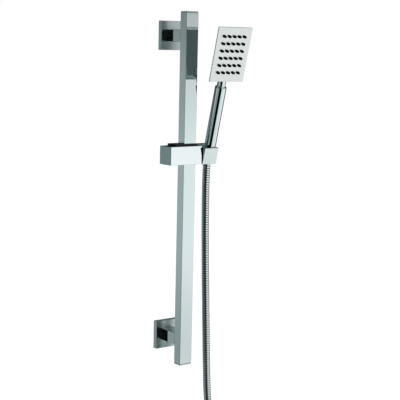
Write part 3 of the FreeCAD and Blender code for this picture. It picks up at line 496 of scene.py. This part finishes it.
@dataclass(frozen=True)
class Metal(Finish):
    """Bare or plated metal."""

    tint: Colour = (0.665, 0.755, 0.76)
    shade: Colour = (0.635, 0.73, 0.735)
    gloss_floor: float = 0.035
    smear: float = 0.03
    hairline: float = 0.02
    relief: float = 0.00002

    def make(self) -> Material:
        """Builds the material."""
        material, wires, shader, coords = self.start()
        shader.inputs["Metallic"].default_value = 1
        wear = self.place_group(wires, Effect.polish(), coords, Smear=self.smear,
                                Base=self.gloss_floor)
        wires.join(wear, "Roughness", shader, "Roughness")
        cloud = wires.add("ShaderNodeTexNoise", Scale=9, Detail=3)
        wires.join(coords, "Object", cloud, "Vector")
        colour = wires.blend(cloud.outputs["Fac"], self.tint, self.shade)
        wires.tree.links.new(colour, shader.inputs["Base Color"])
        self.bump(wires, wear.outputs["Height"], self.hairline, self.relief, shader)
        return material


@dataclass(frozen=True)
class PaintedDarkEnd(Metal):
    """Plated metal with painted shade on everything left of one plane: a darker colour that stands
    in for a dark reflection.
    """

    end: float = -0.047
    painted_dark_reflection: Colour = (0.33, 0.42, 0.42)

    def make(self) -> Material:
        """Builds the material, with painted shade, a painted dark reflection, left of the end's
        plane.
        """
        material = super().make()
        wires = Wires(material.node_tree)
        shader = material.node_tree.nodes["Principled BSDF"]
        coords = wires.add("ShaderNodeTexCoord")
        split = wires.add("ShaderNodeSeparateXYZ")
        wires.join(coords, "Object", split, "Vector")
        # painted shade: left of the plane the colour is darkened to stand in for the dark
        # reflection on the slider's left end
        left = wires.maths("LESS_THAN", split.outputs["X"], self.end)
        before_mix = shader.inputs["Base Color"].links[0].from_socket
        colour = wires.blend(left, self.painted_dark_reflection, self.painted_dark_reflection)
        wires.tree.links.new(before_mix, colour.node.inputs["A"])
        wires.tree.links.new(colour, shader.inputs["Base Color"])
        return material


@dataclass(frozen=True)
class Wound(Metal):
    """Interlocked metal strip, rougher down in its grooves, with painted shade there: a dark colour
    in the grooves.
    """

    # painted shade: the colour that the grooves take in place of the shade that falls in them
    deep: Colour = (0.01, 0.02, 0.022)
    deep_roughness: float = 0.6

    def make(self) -> Material:
        """Builds the material, with the mesh's own groove depth as the mask of the painted shade
        and of the rougher gloss.
        """
        material = super().make()
        wires = Wires(material.node_tree)
        shader = material.node_tree.nodes["Principled BSDF"]
        depth = wires.add("ShaderNodeAttribute")
        depth.attribute_name = "groove"
        # painted shade in the grooves: the groove depth darkens the colour, and also raises the
        # roughness
        for label, groove_shade_and_roughness in (("Base Color", (*self.deep, 1)), ("Roughness", self.deep_roughness)):
            before_mix = shader.inputs[label].links[0].from_socket
            mix = material.node_tree.nodes.new("ShaderNodeMix")
            mix.data_type = "RGBA" if label == "Base Color" else "FLOAT"
            mix.inputs["B"].default_value = groove_shade_and_roughness
            wires.tree.links.new(before_mix, mix.inputs["A"])
            wires.tree.links.new(depth.outputs["Fac"], mix.inputs["Factor"])
            wires.tree.links.new(mix.outputs["Result"], shader.inputs[label])
        return material


@dataclass(frozen=True)
class Moulded(Finish):
    """Moulded plastic or rubber."""

    colour: Colour = (0.012, 0.012, 0.013)
    rubbed: Colour = (0.02, 0.021, 0.022)
    gloss: float = 0.42
    grain: float = 0.15
    sheen: float = 0.4
    patchy: float = 0.12
    relief: float = 0.00005

    def make(self) -> Material:
        """Builds the material."""
        material, wires, shader, coords = self.start()
        shader.inputs["Specular IOR Level"].default_value = self.sheen
        skin = self.place_group(wires, Effect.grain(), coords)
        colour = wires.blend(skin.outputs["Mask"], self.colour, self.rubbed)
        wires.tree.links.new(colour, shader.inputs["Base Color"])
        rough = wires.maths("MULTIPLY_ADD", skin.outputs["Mask"], self.patchy, self.gloss)
        wires.tree.links.new(rough, shader.inputs["Roughness"])
        self.bump(wires, skin.outputs["Height"], self.grain, self.relief, shader)
        return material


class Palette:
    """Every finish of the set, made once."""

    def __init__(self) -> None:
        """Builds the materials."""
        self.chrome = Metal("polished_chrome").make()
        # painted highlight: the slider's plate is a lighter copy of the polished chrome, and its
        # left end has a painted dark reflection
        self.cover = PaintedDarkEnd("slider_plate_painted_reflections", tint=(0.8, 0.87, 0.88), shade=(0.77, 0.84, 0.85),
                               gloss_floor=0.06).make()
        # painted shade: the flanges' chrome is a darker copy of the polished chrome, standing in
        # for the dark reflections on them
        self.bracket = Metal("bracket_plate_painted_shade", tint=(0.55, 0.63, 0.63), shade=(0.5, 0.58, 0.58),
                             gloss_floor=0.2, smear=0.05, hairline=0.1).make()
        self.satin = Metal("satin_plate", tint=(0.74, 0.78, 0.77), shade=(0.7, 0.745, 0.735),
                           gloss_floor=0.2, smear=0.1, hairline=0.1).make()
        # the hose's grooves take painted shade from the Wound finish
        self.hose = Wound("hose_steel", tint=(0.86, 0.93, 0.93), shade=(0.8, 0.88, 0.88),
                          gloss_floor=0.07, smear=0.04).make()
        self.steel = Metal("dull_steel", tint=(0.5, 0.51, 0.52), shade=(0.42, 0.43, 0.44),
                           gloss_floor=0.28, smear=0.15, hairline=0.2).make()
        self.zinc = Metal("cast_zinc", tint=(0.5, 0.51, 0.52), shade=(0.4, 0.41, 0.42),
                          gloss_floor=0.42, smear=0.2, hairline=0.5).make()
        self.brass = Metal("brass", tint=(0.78, 0.58, 0.3), shade=(0.66, 0.46, 0.22),
                           gloss_floor=0.2, smear=0.15, hairline=0.1).make()
        self.black = Moulded("black_plastic", colour=(0.006, 0.007, 0.008),
                             rubbed=(0.012, 0.013, 0.014), sheen=0.2).make()
        self.rubber = Moulded("black_rubber", colour=(0.003, 0.004, 0.004),
                              rubbed=(0.007, 0.008, 0.008), gloss=0.6, grain=0.3,
                              sheen=0.05).make()
        self.white = Moulded("white_plastic", colour=(0.8, 0.8, 0.78),
                             rubbed=(0.74, 0.74, 0.72), gloss=0.35).make()

    @staticmethod
    def dress(piece: Object, finish: Material) -> None:
        """Gives a piece one finish all over."""
        piece.data.materials.clear()
        piece.data.materials.append(finish)


# ------------------------------------------------------------------ camera and studio

@dataclass(frozen=True)
class Camera:
    """The viewpoint: to the left of the rail, level with its upper bracket."""

    place: Vector = Vector((-1.21085, -1.72187, -0.01239))
    heading: float = 36.78
    pitch: float = -7.88
    roll: float = 1.26
    lens: float = 102.08
    sensor: float = 36.0
    nearest: float = 0.05
    farthest: float = 60

    def make(self) -> Object:
        """Adds the camera and makes it the scene's own."""
        data = bpy.data.cameras.new("camera")
        data.lens = self.lens
        data.sensor_width = self.sensor
        data.clip_start, data.clip_end = self.nearest, self.farthest
        camera = bpy.data.objects.new("camera", data)
        bpy.context.scene.collection.objects.link(camera)
        turn = Matrix.Rotation(-math.radians(self.heading), 4, "Z")
        tip = Matrix.Rotation(math.radians(90 + self.pitch), 4, "X")
        lean = Matrix.Rotation(math.radians(self.roll), 4, "Z")
        camera.matrix_world = Matrix.Translation(self.place) @ turn @ tip @ lean
        bpy.context.scene.camera = camera
        return camera


@dataclass(frozen=True)
class Studio:
    """A pale floor, a soft overhead light and surroundings of bright and dark bands.

    The bands are what the chrome mirrors. Each ramp lists angles in degrees and a level at
    each: around_low and around_high go round the object from the heading, parting says how
    high the second takes over from the first, and upward scales both by height.
    """

    floor_depth: float = -1.3
    floor_reach: float = 30.0
    light_strength: float = 3.2
    light_spread: float = 80.0
    light_lean: tuple[float, float] = (18.0, 12.0)
    dark_red: float = 0.8
    light_red: float = 0.2
    camera_heading: float = 233.2
    around_low: tuple[tuple[float, float], ...] = (
        (-180, 0.3), (-150, 0.22), (-128, 0.04), (-117, 0.46), (-86, 0.46), (-80, 0.004),
        (-60, 0.004), (-54, 0.4), (-30, 0.4), (-25, 0.003), (22, 0.003), (28, 1.05),
        (113, 1.08), (122, 0.12), (150, 0.24), (180, 0.3))
    around_high: tuple[tuple[float, float], ...] = (
        (-180, 0.3), (-150, 0.22), (-128, 0.08), (-116, 0.5), (-62, 0.6), (-46, 0.01),
        (18, 0.003), (26, 1.1), (106, 1.08), (120, 0.08), (150, 0.24), (180, 0.3))
    parting: tuple[tuple[float, float], ...] = ((-90, 0), (-16, 0), (-12.5, 1), (90, 1))
    upward: tuple[tuple[float, float], ...] = (
        (-90, 0.8), (-30, 0.88), (-25, 1.02), (-20, 0.98), (-15, 0.8), (-10, 0.98),
        (-6, 0.98), (-2, 0.8), (2, 0.58), (20, 0.5), (90, 0.5))

    def make(self) -> None:
        """Builds the floor, the light and the surroundings."""
        self.make_floor()
        self.make_light()
        self.make_surround()
        view = bpy.context.scene.view_settings
        view.view_transform = "Standard"
        view.look = "None"

    def make_floor(self) -> None:
        """A plain pale floor, below the hose even with the slider at its lowest."""
        Bench.clear()
        bpy.ops.mesh.primitive_plane_add(size=self.floor_reach, location=(0, 0, self.floor_depth))
        floor = Bench.named("floor")
        paint = bpy.data.materials.new("pale_floor")
        paint.use_nodes = True
        shader = paint.node_tree.nodes["Principled BSDF"]
        shader.inputs["Base Color"].default_value = (0.9, 0.9, 0.9, 1)
        shader.inputs["Roughness"].default_value = 0.9
        shader.inputs["Specular IOR Level"].default_value = 0.1
        floor.data.materials.append(paint)
        floor.visible_glossy = False

    def make_light(self) -> None:
        """A very broad, soft light from above."""
        data = bpy.data.lights.new("overhead", "SUN")
        data.energy = self.light_strength
        data.angle = math.radians(self.light_spread)
        light = bpy.data.objects.new("overhead", data)
        light.rotation_euler = (*map(math.radians, self.light_lean), 0)
        light.visible_glossy = False
        bpy.context.scene.collection.objects.link(light)

    def ramp(self, wires: Wires, place: Socket, stops: Profile, circle: float) -> Node:
        """A ramp of grey levels, cooler where they are dark if it goes all round.

        Args:
            wires: the tree's wiring.
            place: where on the ramp, 0 to 1.
            stops: an angle and a level at each stop.
            circle: the whole ramp's angle.

        Returns:
            The ramp node.
        """
        node = wires.add("ShaderNodeValToRGB")
        wires.tree.links.new(place, node.inputs["Fac"])
        ramp = node.color_ramp
        ramp.interpolation = "EASE"
        for angle, _ in stops[1:-1]:
            ramp.elements.new(0.5 + angle / circle)
        for stop, (angle, level) in zip(ramp.elements, stops):
            red = level
            if circle == WHOLE_TURN:
                red = level * (self.dark_red + self.light_red * min(level, 1.0))
            stop.color = (red, level, level, 1)
        return node

    def make_surround(self) -> None:
        """Bright and dark bands for the metal to mirror, white where they are seen directly."""
        world = bpy.data.worlds.new("surroundings")
        bpy.context.scene.world = world
        world.use_nodes = True
        tree = world.node_tree
        wires = Wires(tree)
        tree.nodes.clear()
        coords = wires.add("ShaderNodeTexCoord")
        turn = wires.add("ShaderNodeMapping")
        turn.inputs["Rotation"].default_value = (0, 0, -math.radians(self.camera_heading))
        wires.join(coords, "Generated", turn, "Vector")
        around = wires.add("ShaderNodeTexGradient")
        around.gradient_type = "RADIAL"
        wires.join(turn, "Vector", around, "Vector")
        split = wires.add("ShaderNodeSeparateXYZ")
        wires.join(coords, "Generated", split, "Vector")
        rise = wires.maths("ARCSINE", split.outputs["Z"])
        height = wires.maths("MULTIPLY_ADD", rise, 1 / math.pi, 0.5)
        low = self.ramp(wires, around.outputs["Fac"], self.around_low, WHOLE_TURN)
        high = self.ramp(wires, around.outputs["Fac"], self.around_high, WHOLE_TURN)
        part = self.ramp(wires, height, self.parting, HALF_TURN)
        bands = tree.nodes.new("ShaderNodeMix")
        bands.data_type = "RGBA"
        tree.links.new(part.outputs["Color"], bands.inputs["Factor"])
        tree.links.new(low.outputs["Color"], bands.inputs["A"])
        tree.links.new(high.outputs["Color"], bands.inputs["B"])
        levels = self.ramp(wires, height, self.upward, HALF_TURN)
        product = tree.nodes.new("ShaderNodeVectorMath")
        product.operation = "MULTIPLY"
        wires.join(bands, "Result", product, "Vector")
        tree.links.new(levels.outputs["Color"], product.inputs[1])
        direct = wires.add("ShaderNodeLightPath")
        soft = wires.add("ShaderNodeBackground")
        wires.join(product, "Vector", soft, "Color")
        plain = wires.add("ShaderNodeBackground")
        plain.inputs["Color"].default_value = (1, 1, 1, 1)
        pick = wires.add("ShaderNodeMixShader")
        wires.join(direct, "Is Camera Ray", pick, "Fac")
        tree.links.new(soft.outputs[0], pick.inputs[1])
        tree.links.new(plain.outputs[0], pick.inputs[2])
        out = wires.add("ShaderNodeOutputWorld")
        tree.links.new(pick.outputs[0], out.inputs["Surface"])


# ------------------------------------------------------------------ hose

@dataclass
class Hose:
    """The metal hose: it hangs from the holder and its spare length is tied in a coil."""

    radius: float = 0.007
    groove: float = 0.00045
    pitch: float = 0.0044
    length: float = 1.492
    sides: int = 20
    steps: int = 8
    coil_middle: Vector = field(default_factory=lambda: Vector((0.0463, -0.095, -0.8505)))
    coil_radius: float = 0.082
    coil_points: int = 24
    coil_start: float = 135.0
    coil_end: float = 765.0
    cross_over: tuple[float, float] = (0.5, 0.09)
    draw_out: tuple[float, float] = (0.94, 0.05)
    fineness: int = 24
    lip: float = 1.4
    lip_share: float = 0.18
    sharpest: float = 60.0
    strand_ahead: float = 0.0143
    end_ahead: float = 0.022
    route: tuple[tuple[float, float, float], ...] = (
        (0.0440, -0.0614, -0.2327),
        (0.0440, -0.0596, -0.2620),
        (0.0440, -0.0602, -0.3120),
        (0.0440, -0.0618, -0.3720),
        (0.0440, -0.0648, -0.4360),
        (0.0440, -0.0684, -0.5020),
        (0.0440, -0.0722, -0.5660),
        (0.0434, -0.0760, -0.6220),
        (0.0424, -0.0806, -0.6620),
        (0.0418, -0.0868, -0.6960),
        (0.0342, -0.0918, -0.7327),
        (0.0152, -0.0944, -0.7656),
        (-0.0117, -0.0950, -0.7925),
    )

    def coil_route(self) -> list[Vector]:
        """The coil's turns as points: one and three quarter turns, the second in front."""
        sweep = self.coil_end - self.coil_start
        count = round(sweep / WHOLE_TURN * self.coil_points)
        step = math.radians(sweep / count)
        cross_at, cross_for = self.cross_over
        draw_at, draw_for = self.draw_out
        reach = self.coil_radius / math.cos(step / 2)
        points = []
        for i in range(1, count + 1):
            turned = i / count
            angle = math.radians(self.coil_start) + i * step
            ahead = self.strand_ahead * self.ease((turned - cross_at) / cross_for)
            ahead += (self.end_ahead - self.strand_ahead) * self.ease((turned - draw_at) / draw_for)
            out = reach if i < count else self.coil_radius
            points.append(self.coil_middle + Vector((math.cos(angle) * out, -ahead,
                                                     math.sin(angle) * out)))
        return points

    def centreline(self) -> list[Vector]:
        """The points of one smooth curve through the hose's whole route."""
        line = bpy.data.curves.new("hose_route", "CURVE")
        line.dimensions = "3D"
        line.resolution_u = self.fineness
        spline = line.splines.new("NURBS")
        points = [Vector(p) for p in self.route] + self.coil_route()
        spline.points.add(len(points) - 1)
        for place, point in zip(points, spline.points):
            point.co = (*place, 1)
        spline.order_u = 3
        spline.use_endpoint_u = True
        carrier = bpy.data.objects.new("hose_route", line)
        bpy.context.scene.collection.objects.link(carrier)
        bpy.context.view_layer.update()
        mesh = bpy.data.meshes.new_from_object(carrier)
        smooth = [v.co.copy() for v in mesh.vertices]
        bpy.data.objects.remove(carrier)
        bpy.data.meshes.remove(mesh)
        return smooth

    def frames(self, smooth: list[Vector]) -> list[tuple[Vector, Vector, Vector]]:
        """Where each ring of the wound strip stands.

        Args:
            smooth: the centreline's points.

        Returns:
            Each ring's middle and the two directions across it.
        """
        marks = [0.0]
        for before, after in zip(smooth, smooth[1:]):
            marks.append(marks[-1] + (after - before).length)
        total = marks[-1]
        LOG.info("hose centreline %.3f m", total)
        count = round(total / self.pitch) * self.steps
        rings, spot = [], 0
        side = Vector((1, 0, 0))
        for i in range(count + 1):
            along = total * i / count
            while spot < len(marks) - 2 and marks[spot + 1] < along:
                spot += 1
            share = (along - marks[spot]) / max(marks[spot + 1] - marks[spot], 1e-9)
            place = smooth[spot].lerp(smooth[spot + 1], min(share, 1.0))
            way = (smooth[spot + 1] - smooth[spot]).normalized()
            side = (side - way * side.dot(way)).normalized()
            rings.append((place, side.copy(), way.cross(side)))
        return rings

    def strip(self, rings: list[tuple[Vector, Vector, Vector]]) -> bpy.types.Mesh:
        """The wound strip's surface, closed at both ends.

        Args:
            rings: each ring's middle and the two directions across it.

        Returns:
            A mesh that keeps its groove depth in the attribute "groove".
        """
        points, faces, depths = [], [], []
        for i, (place, right, up) in enumerate(rings):
            for k in range(self.sides):
                around = 2 * math.pi * k / self.sides
                phase = (i / self.steps + k / self.sides) % 1.0
                depths.append(self.profile(phase))
                radius = self.radius - self.groove * depths[-1]
                out = right * math.cos(around) + up * math.sin(around)
                points.append(place + out * radius)
        count = len(rings) - 1
        for i in range(count):
            for k in range(self.sides):
                a, b = i * self.sides + k, i * self.sides + (k + 1) % self.sides
                faces.append((a, b, b + self.sides, a + self.sides))
        faces.append(tuple(range(self.sides - 1, -1, -1)))
        faces.append(tuple(range(count * self.sides, (count + 1) * self.sides)))
        mesh = bpy.data.meshes.new("hose")
        mesh.from_pydata(points, [], faces)
        mesh.validate()
        mesh.attributes.new("groove", "FLOAT", "POINT").data.foreach_set("value", depths)
        return mesh

    def make(self, palette: Palette) -> Object:
        """Args:
            palette: the set's finishes.

        Returns:
            The hose.
        """
        smooth = self.centreline()
        hose = bpy.data.objects.new("hose", self.strip(self.frames(smooth)))
        bpy.context.scene.collection.objects.link(hose)
        Bench.grab(hose)
        bpy.ops.object.shade_smooth_by_angle(angle=math.radians(self.sharpest))
        palette.dress(hose, palette.hose)
        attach(hose, "hose")
        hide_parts("hose_tube", "hose_coil")
        return hose

    def profile(self, phase: float) -> float:
        """How deep the strip lies at a share of its pitch: 0 outside, 1 in the groove."""
        near = min(phase, 1 - phase)
        return self.ease(self.lip - near / self.lip_share)

    @staticmethod
    def ease(share: float) -> float:
        """A smooth step from 0 to 1."""
        share = max(0.0, min(1.0, share))
        return share * share * (3 - 2 * share)


# ------------------------------------------------------------------ sub-assemblies

class Body(Enum):
    """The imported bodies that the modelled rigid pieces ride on."""

    RAIL = "rail"
    HANDSET = "handset"


def finished(piece: Object, body: Body, slot: str, finish: Material, *nodes: str) -> Object:
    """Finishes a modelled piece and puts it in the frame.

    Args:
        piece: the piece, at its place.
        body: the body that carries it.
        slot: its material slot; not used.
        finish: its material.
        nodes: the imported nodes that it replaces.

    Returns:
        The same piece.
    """
    Bench.smooth(piece)
    Palette.dress(piece, finish)
    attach(piece, body.value)
    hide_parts(*nodes)
    LOG.info("%s: %d faces", piece.name, len(piece.data.polygons))
    return piece


def rounded(start: tuple[float, float], end: tuple[float, float], bulge: tuple[float, float],
            steps: int = 6) -> list[tuple[float, float]]:
    """A quarter round between two rings.

    Args:
        start: radius and height where it starts.
        end: radius and height where it ends.
        bulge: the sharp corner that it takes the place of.
        steps: faces along it.

    Returns:
        The rings from start to end.
    """
    ring = []
    for i in range(steps + 1):
        turn = math.pi / 2 * i / steps
        out, on = 1 - math.sin(turn), 1 - math.cos(turn)
        ring.append(tuple(c + (a - c) * out + (b - c) * on
                          for a, b, c in zip(start, end, bulge)))
    return ring


@dataclass
class Rail:
    """The square rail tube with a pressed cap in each end."""

    half: float = 0.01325
    middle: float = -0.059
    depth: float = 0.0095
    top: float = 0.0435
    foot: float = -0.6065
    cap: float = 0.003
    edge: float = 0.0016
    wall: float = 0.0015
    divider: float = 0.001

    def make(self, palette: Palette) -> None:
        """Models the tube, hollow from both ends up to a thin divider, and both caps."""
        front, back = self.middle - self.depth, self.middle + self.depth
        low, high = self.foot + self.cap, self.top - self.cap
        tube = Bench.block("rail_tube_body", (-self.half, front, low), (self.half, back, high))
        for up in (1, -1):
            Bench.sink(tube, (0, 0, up), self.wall, (high - low) / 2 - self.divider)
        Bench.round_edges(tube, self.edge)
        finished(tube, Body.RAIL, "rail_chrome", palette.chrome, "rail_tube")
        for name, start, end in (("rail_top_cap", high, self.top),
                                 ("rail_bottom_cap", self.foot, low)):
            cap = Bench.block(name + "_body", (-self.half, front, start), (self.half, back, end))
            Bench.round_edges(cap, self.edge)
            finished(cap, Body.RAIL, "rail_chrome", palette.chrome, name)


@dataclass
class Bracket:
    """The square flange of a wall bracket, hollow towards the wall."""

    half: float = 0.0265
    thick: float = 0.010
    wall: float = 0.0015
    edge: float = 0.0009
    arm_half: float = 0.01335
    arm_rise: float = 0.0111
    drops: tuple[tuple[str, float], ...] = (("upper_flange", 0.0), ("lower_flange", -0.559))

    def make(self, palette: Palette) -> None:
        """Models one flange and copies it to the second bracket."""
        first = Bench.block("flange", (-self.half, -self.thick, -self.half),
                            (self.half, 0, self.half))
        Bench.sink(first, (0, 1, 0), self.wall, self.thick - self.wall)
        window = Bench.block("window", (-self.arm_half, -2 * self.thick, -self.arm_rise),
                             (self.arm_half, self.thick, self.arm_rise))
        Bench.round_edges(first, self.edge)
        Bench.carve(first, window)
        for node, drop in self.drops:
            flange = first.copy()
            flange.data = first.data.copy()
            flange.name = flange.data.name = node + "_body"
            bpy.context.scene.collection.objects.link(flange)
            Bench.place(flange, Matrix.Translation((0, 0, drop)))
            # the flanges take the darker copy of the chrome: painted shade
            finished(flange, Body.RAIL, "bracket_chrome", palette.bracket, node)
        bpy.data.objects.remove(first)


@dataclass
class Head:
    """The flat face of the head and the rubber mat whose nozzles stand through it."""

    half: float = 0.0377
    foot: float = 0.1435
    top: float = 0.2428
    front: float = -0.0123
    back: float = -0.0097
    edge: float = 0.0005
    columns: int = 5
    rows: int = 6
    across: float = 0.0112
    along: float = 0.0132
    root: float = 2.7
    proud: float = 4.3
    mat_half: float = 0.029
    mat_margin: float = 0.007
    mat_thick: float = 0.0015
    play: float = 0.12
    taper: float = 0.45
    tip_round: float = 0.7
    jet: float = 0.6
    jet_lip: float = 0.3
    jet_sink: float = 0.4
    drill_sides: int = 32
    nozzle_sides: int = 28

    def places(self) -> list[tuple[float, float]]:
        """Where the nozzles stand, across and along the head."""
        middle = (self.foot + self.top) / 2
        return [((column - (self.columns - 1) / 2) * self.across,
                 middle + (row - (self.rows - 1) / 2) * self.along)
                for row in range(self.rows) for column in range(self.columns)]

    def make(self, palette: Palette) -> None:
        """Models the drilled plate, and one nozzle that is copied to every hole."""
        plate = Bench.block("face_plate_body", (-self.half, self.front, self.foot),
                            (self.half, self.back, self.top))
        Bench.round_edges(plate, self.edge, segments=3)
        hole = (self.root + self.play) * MM
        drills = [Bench.rod("drill", (x, 2 * self.front, z), (x, 0, z), hole, self.drill_sides)
                  for x, z in self.places()]
        Bench.carve(plate, Bench.weld("drills", *drills))
        Bench.place(plate, LEAN.matrix())
        finished(plate, Body.HANDSET, "head_chrome", palette.satin, "face_plate")
        nozzle = Bench.turned("nozzle", self.nozzle(), self.nozzle_sides)
        turn = Matrix.Rotation(math.pi / 2, 4, "X")
        copies = []
        for x, z in self.places():
            copy = nozzle.copy()
            copy.data = nozzle.data.copy()
            bpy.context.scene.collection.objects.link(copy)
            Bench.place(copy, Matrix.Translation((x, self.back, z)) @ turn)
            copies.append(copy)
        bpy.data.objects.remove(nozzle)
        low, high = self.foot + self.mat_margin, self.top - self.mat_margin
        sheet = Bench.block("mat", (-self.mat_half, self.back, low),
                            (self.mat_half, self.back + self.mat_thick, high))
        Bench.round_edges(sheet, self.edge, segments=2)
        mat = Bench.weld("nozzle_mat_body", sheet, *copies)
        Bench.place(mat, LEAN.matrix())
        finished(mat, Body.HANDSET, "black_rubber", palette.rubber, "nozzle_mat")

    def nozzle(self) -> list[tuple[float, float]]:
        """One nozzle's outline: a short cone with a rounded tip round its jet."""
        tip = (self.back - self.front) / MM + self.proud
        slim = self.root - self.taper
        outline = [(self.jet, 0.0), (self.root, 0.0), (self.root, tip - self.proud)]
        outline += rounded((slim, tip - self.tip_round), (slim - self.tip_round, tip),
                           (slim, tip), 4)
        return outline + [(self.jet + self.jet_lip, tip), (self.jet, tip - self.jet_sink)]


@dataclass
class Handset:
    """The stick handle, its neck and the cone nut under it, turned round one axis."""

    handle: float = 10.7
    handle_low: float = 14.0
    handle_top: float = 131.5
    shoulder: float = 2.4
    neck: float = 7.75
    neck_top: float = 157.0
    cone: float = 11.3
    cone_foot: float = 8.5
    cone_top: float = 13.9
    cone_rim: float = 5.6
    cone_low: float = -12.5
    soft: float = 0.5
    handle_wall: float = 1.4
    play: float = 0.05
    mouth: float = 4.0
    neck_wall: float = 1.0
    neck_tuck: float = 9.0
    cone_wall: float = 1.2
    flare: float = 0.08
    hose_seat: float = 7.6
    seat_rise: float = 2.0
    throat_wall: float = 1.1
    throat_rise: float = 3.0

    def make(self, palette: Palette) -> None:
        """Models the three turned pieces upright and leans them."""
        self.turn("handle_body", self.handle_outline(), palette, "handle_tube")
        inside, low = self.neck - self.neck_wall, self.handle_top - self.neck_tuck
        neck = [(inside, low), (self.neck, low), (self.neck, self.neck_top),
                (inside, self.neck_top)]
        self.turn("neck_body", neck, palette, "neck_tube")
        self.turn("cone_nut_body", self.cone_outline(), palette, "cone_nut")

    def handle_outline(self) -> list[tuple[float, float]]:
        """The handle's wall: soft at its foot, round-shouldered where the neck goes in."""
        soft, low, top = self.soft, self.handle_low, self.handle_top
        inside, mouth = self.handle - self.handle_wall, self.neck + self.play
        outline = [(inside, low)]
        outline += rounded((self.handle - soft, low), (self.handle, low + soft),
                           (self.handle, low))
        outline += rounded((self.handle, top - self.shoulder), (self.handle - self.shoulder, top),
                           (self.handle, top), 8)
        return outline + [(mouth, top), (mouth, top - self.mouth), (inside, top - self.mouth)]

    def cone_outline(self) -> list[tuple[float, float]]:
        """The cone nut's wall, from its top down the outside and back up the inside."""
        soft, top, rim, foot = self.soft, self.cone_top, self.cone_rim, self.cone_low
        outline = [(self.cone - self.cone_wall, top)]
        outline += rounded((self.cone - soft, top), (self.cone, top - soft), (self.cone, top))
        outline += rounded((self.cone, rim + soft), (self.cone - self.flare, rim - soft),
                           (self.cone, rim), 3)
        outline += rounded((self.cone_foot + self.flare, foot + soft),
                           (self.cone_foot - soft, foot), (self.cone_foot, foot))
        return outline + [(self.hose_seat, foot), (self.hose_seat, foot + self.seat_rise),
                          (self.cone_foot - self.throat_wall, foot + self.throat_rise),
                          (self.cone - self.cone_wall, rim)]

    def turn(self, name: str, profile: Profile, palette: Palette, node: str) -> None:
        """Turns one piece about the handle's axis.

        Args:
            name: the piece's name.
            profile: its wall's outline.
            palette: the set's finishes.
            node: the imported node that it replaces.
        """
        piece = Bench.turned(name, profile)
        Bench.place(piece, LEAN.matrix())
        finished(piece, Body.HANDSET, "handle_chrome", palette.chrome, node)


# ------------------------------------------------------------------ main

def paint_nodes(palette: Palette) -> None:
    """Gives every CAD node that stays its finish, by the record's material slot."""
    finish = {
        "rail_chrome": palette.chrome, "bracket_chrome": palette.chrome,
        "slider_chrome": palette.chrome, "holder_chrome": palette.chrome,
        "handle_chrome": palette.chrome, "head_chrome": palette.satin,
        "hose_metal": palette.chrome, "black_plastic": palette.black,
        "white_plastic": palette.white, "black_rubber": palette.rubber,
        "steel": palette.steel, "zinc": palette.zinc, "brass": palette.brass,
    }
    for part in frame["record"]["subparts"]:
        palette.dress(frame["nodes"][part["node"]], finish[part["material_slot"]])
    # the slider cover takes the lighter copy of the chrome, a painted highlight, with a painted
    # dark reflection on its left end
    palette.dress(frame["nodes"]["slider_cover"], palette.cover)


def main() -> None:
    """Builds the camera, the hose and every sub-assembly in order."""
    logging.basicConfig(level=logging.INFO, format="%(message)s")
    Camera().make()
    Studio().make()
    palette = Palette()
    paint_nodes(palette)
    Rail().make(palette)
    Bracket().make(palette)
    Handset().make(palette)
    Head().make(palette)
    Hose().make(palette)


if __name__ == "__main__":
    main()
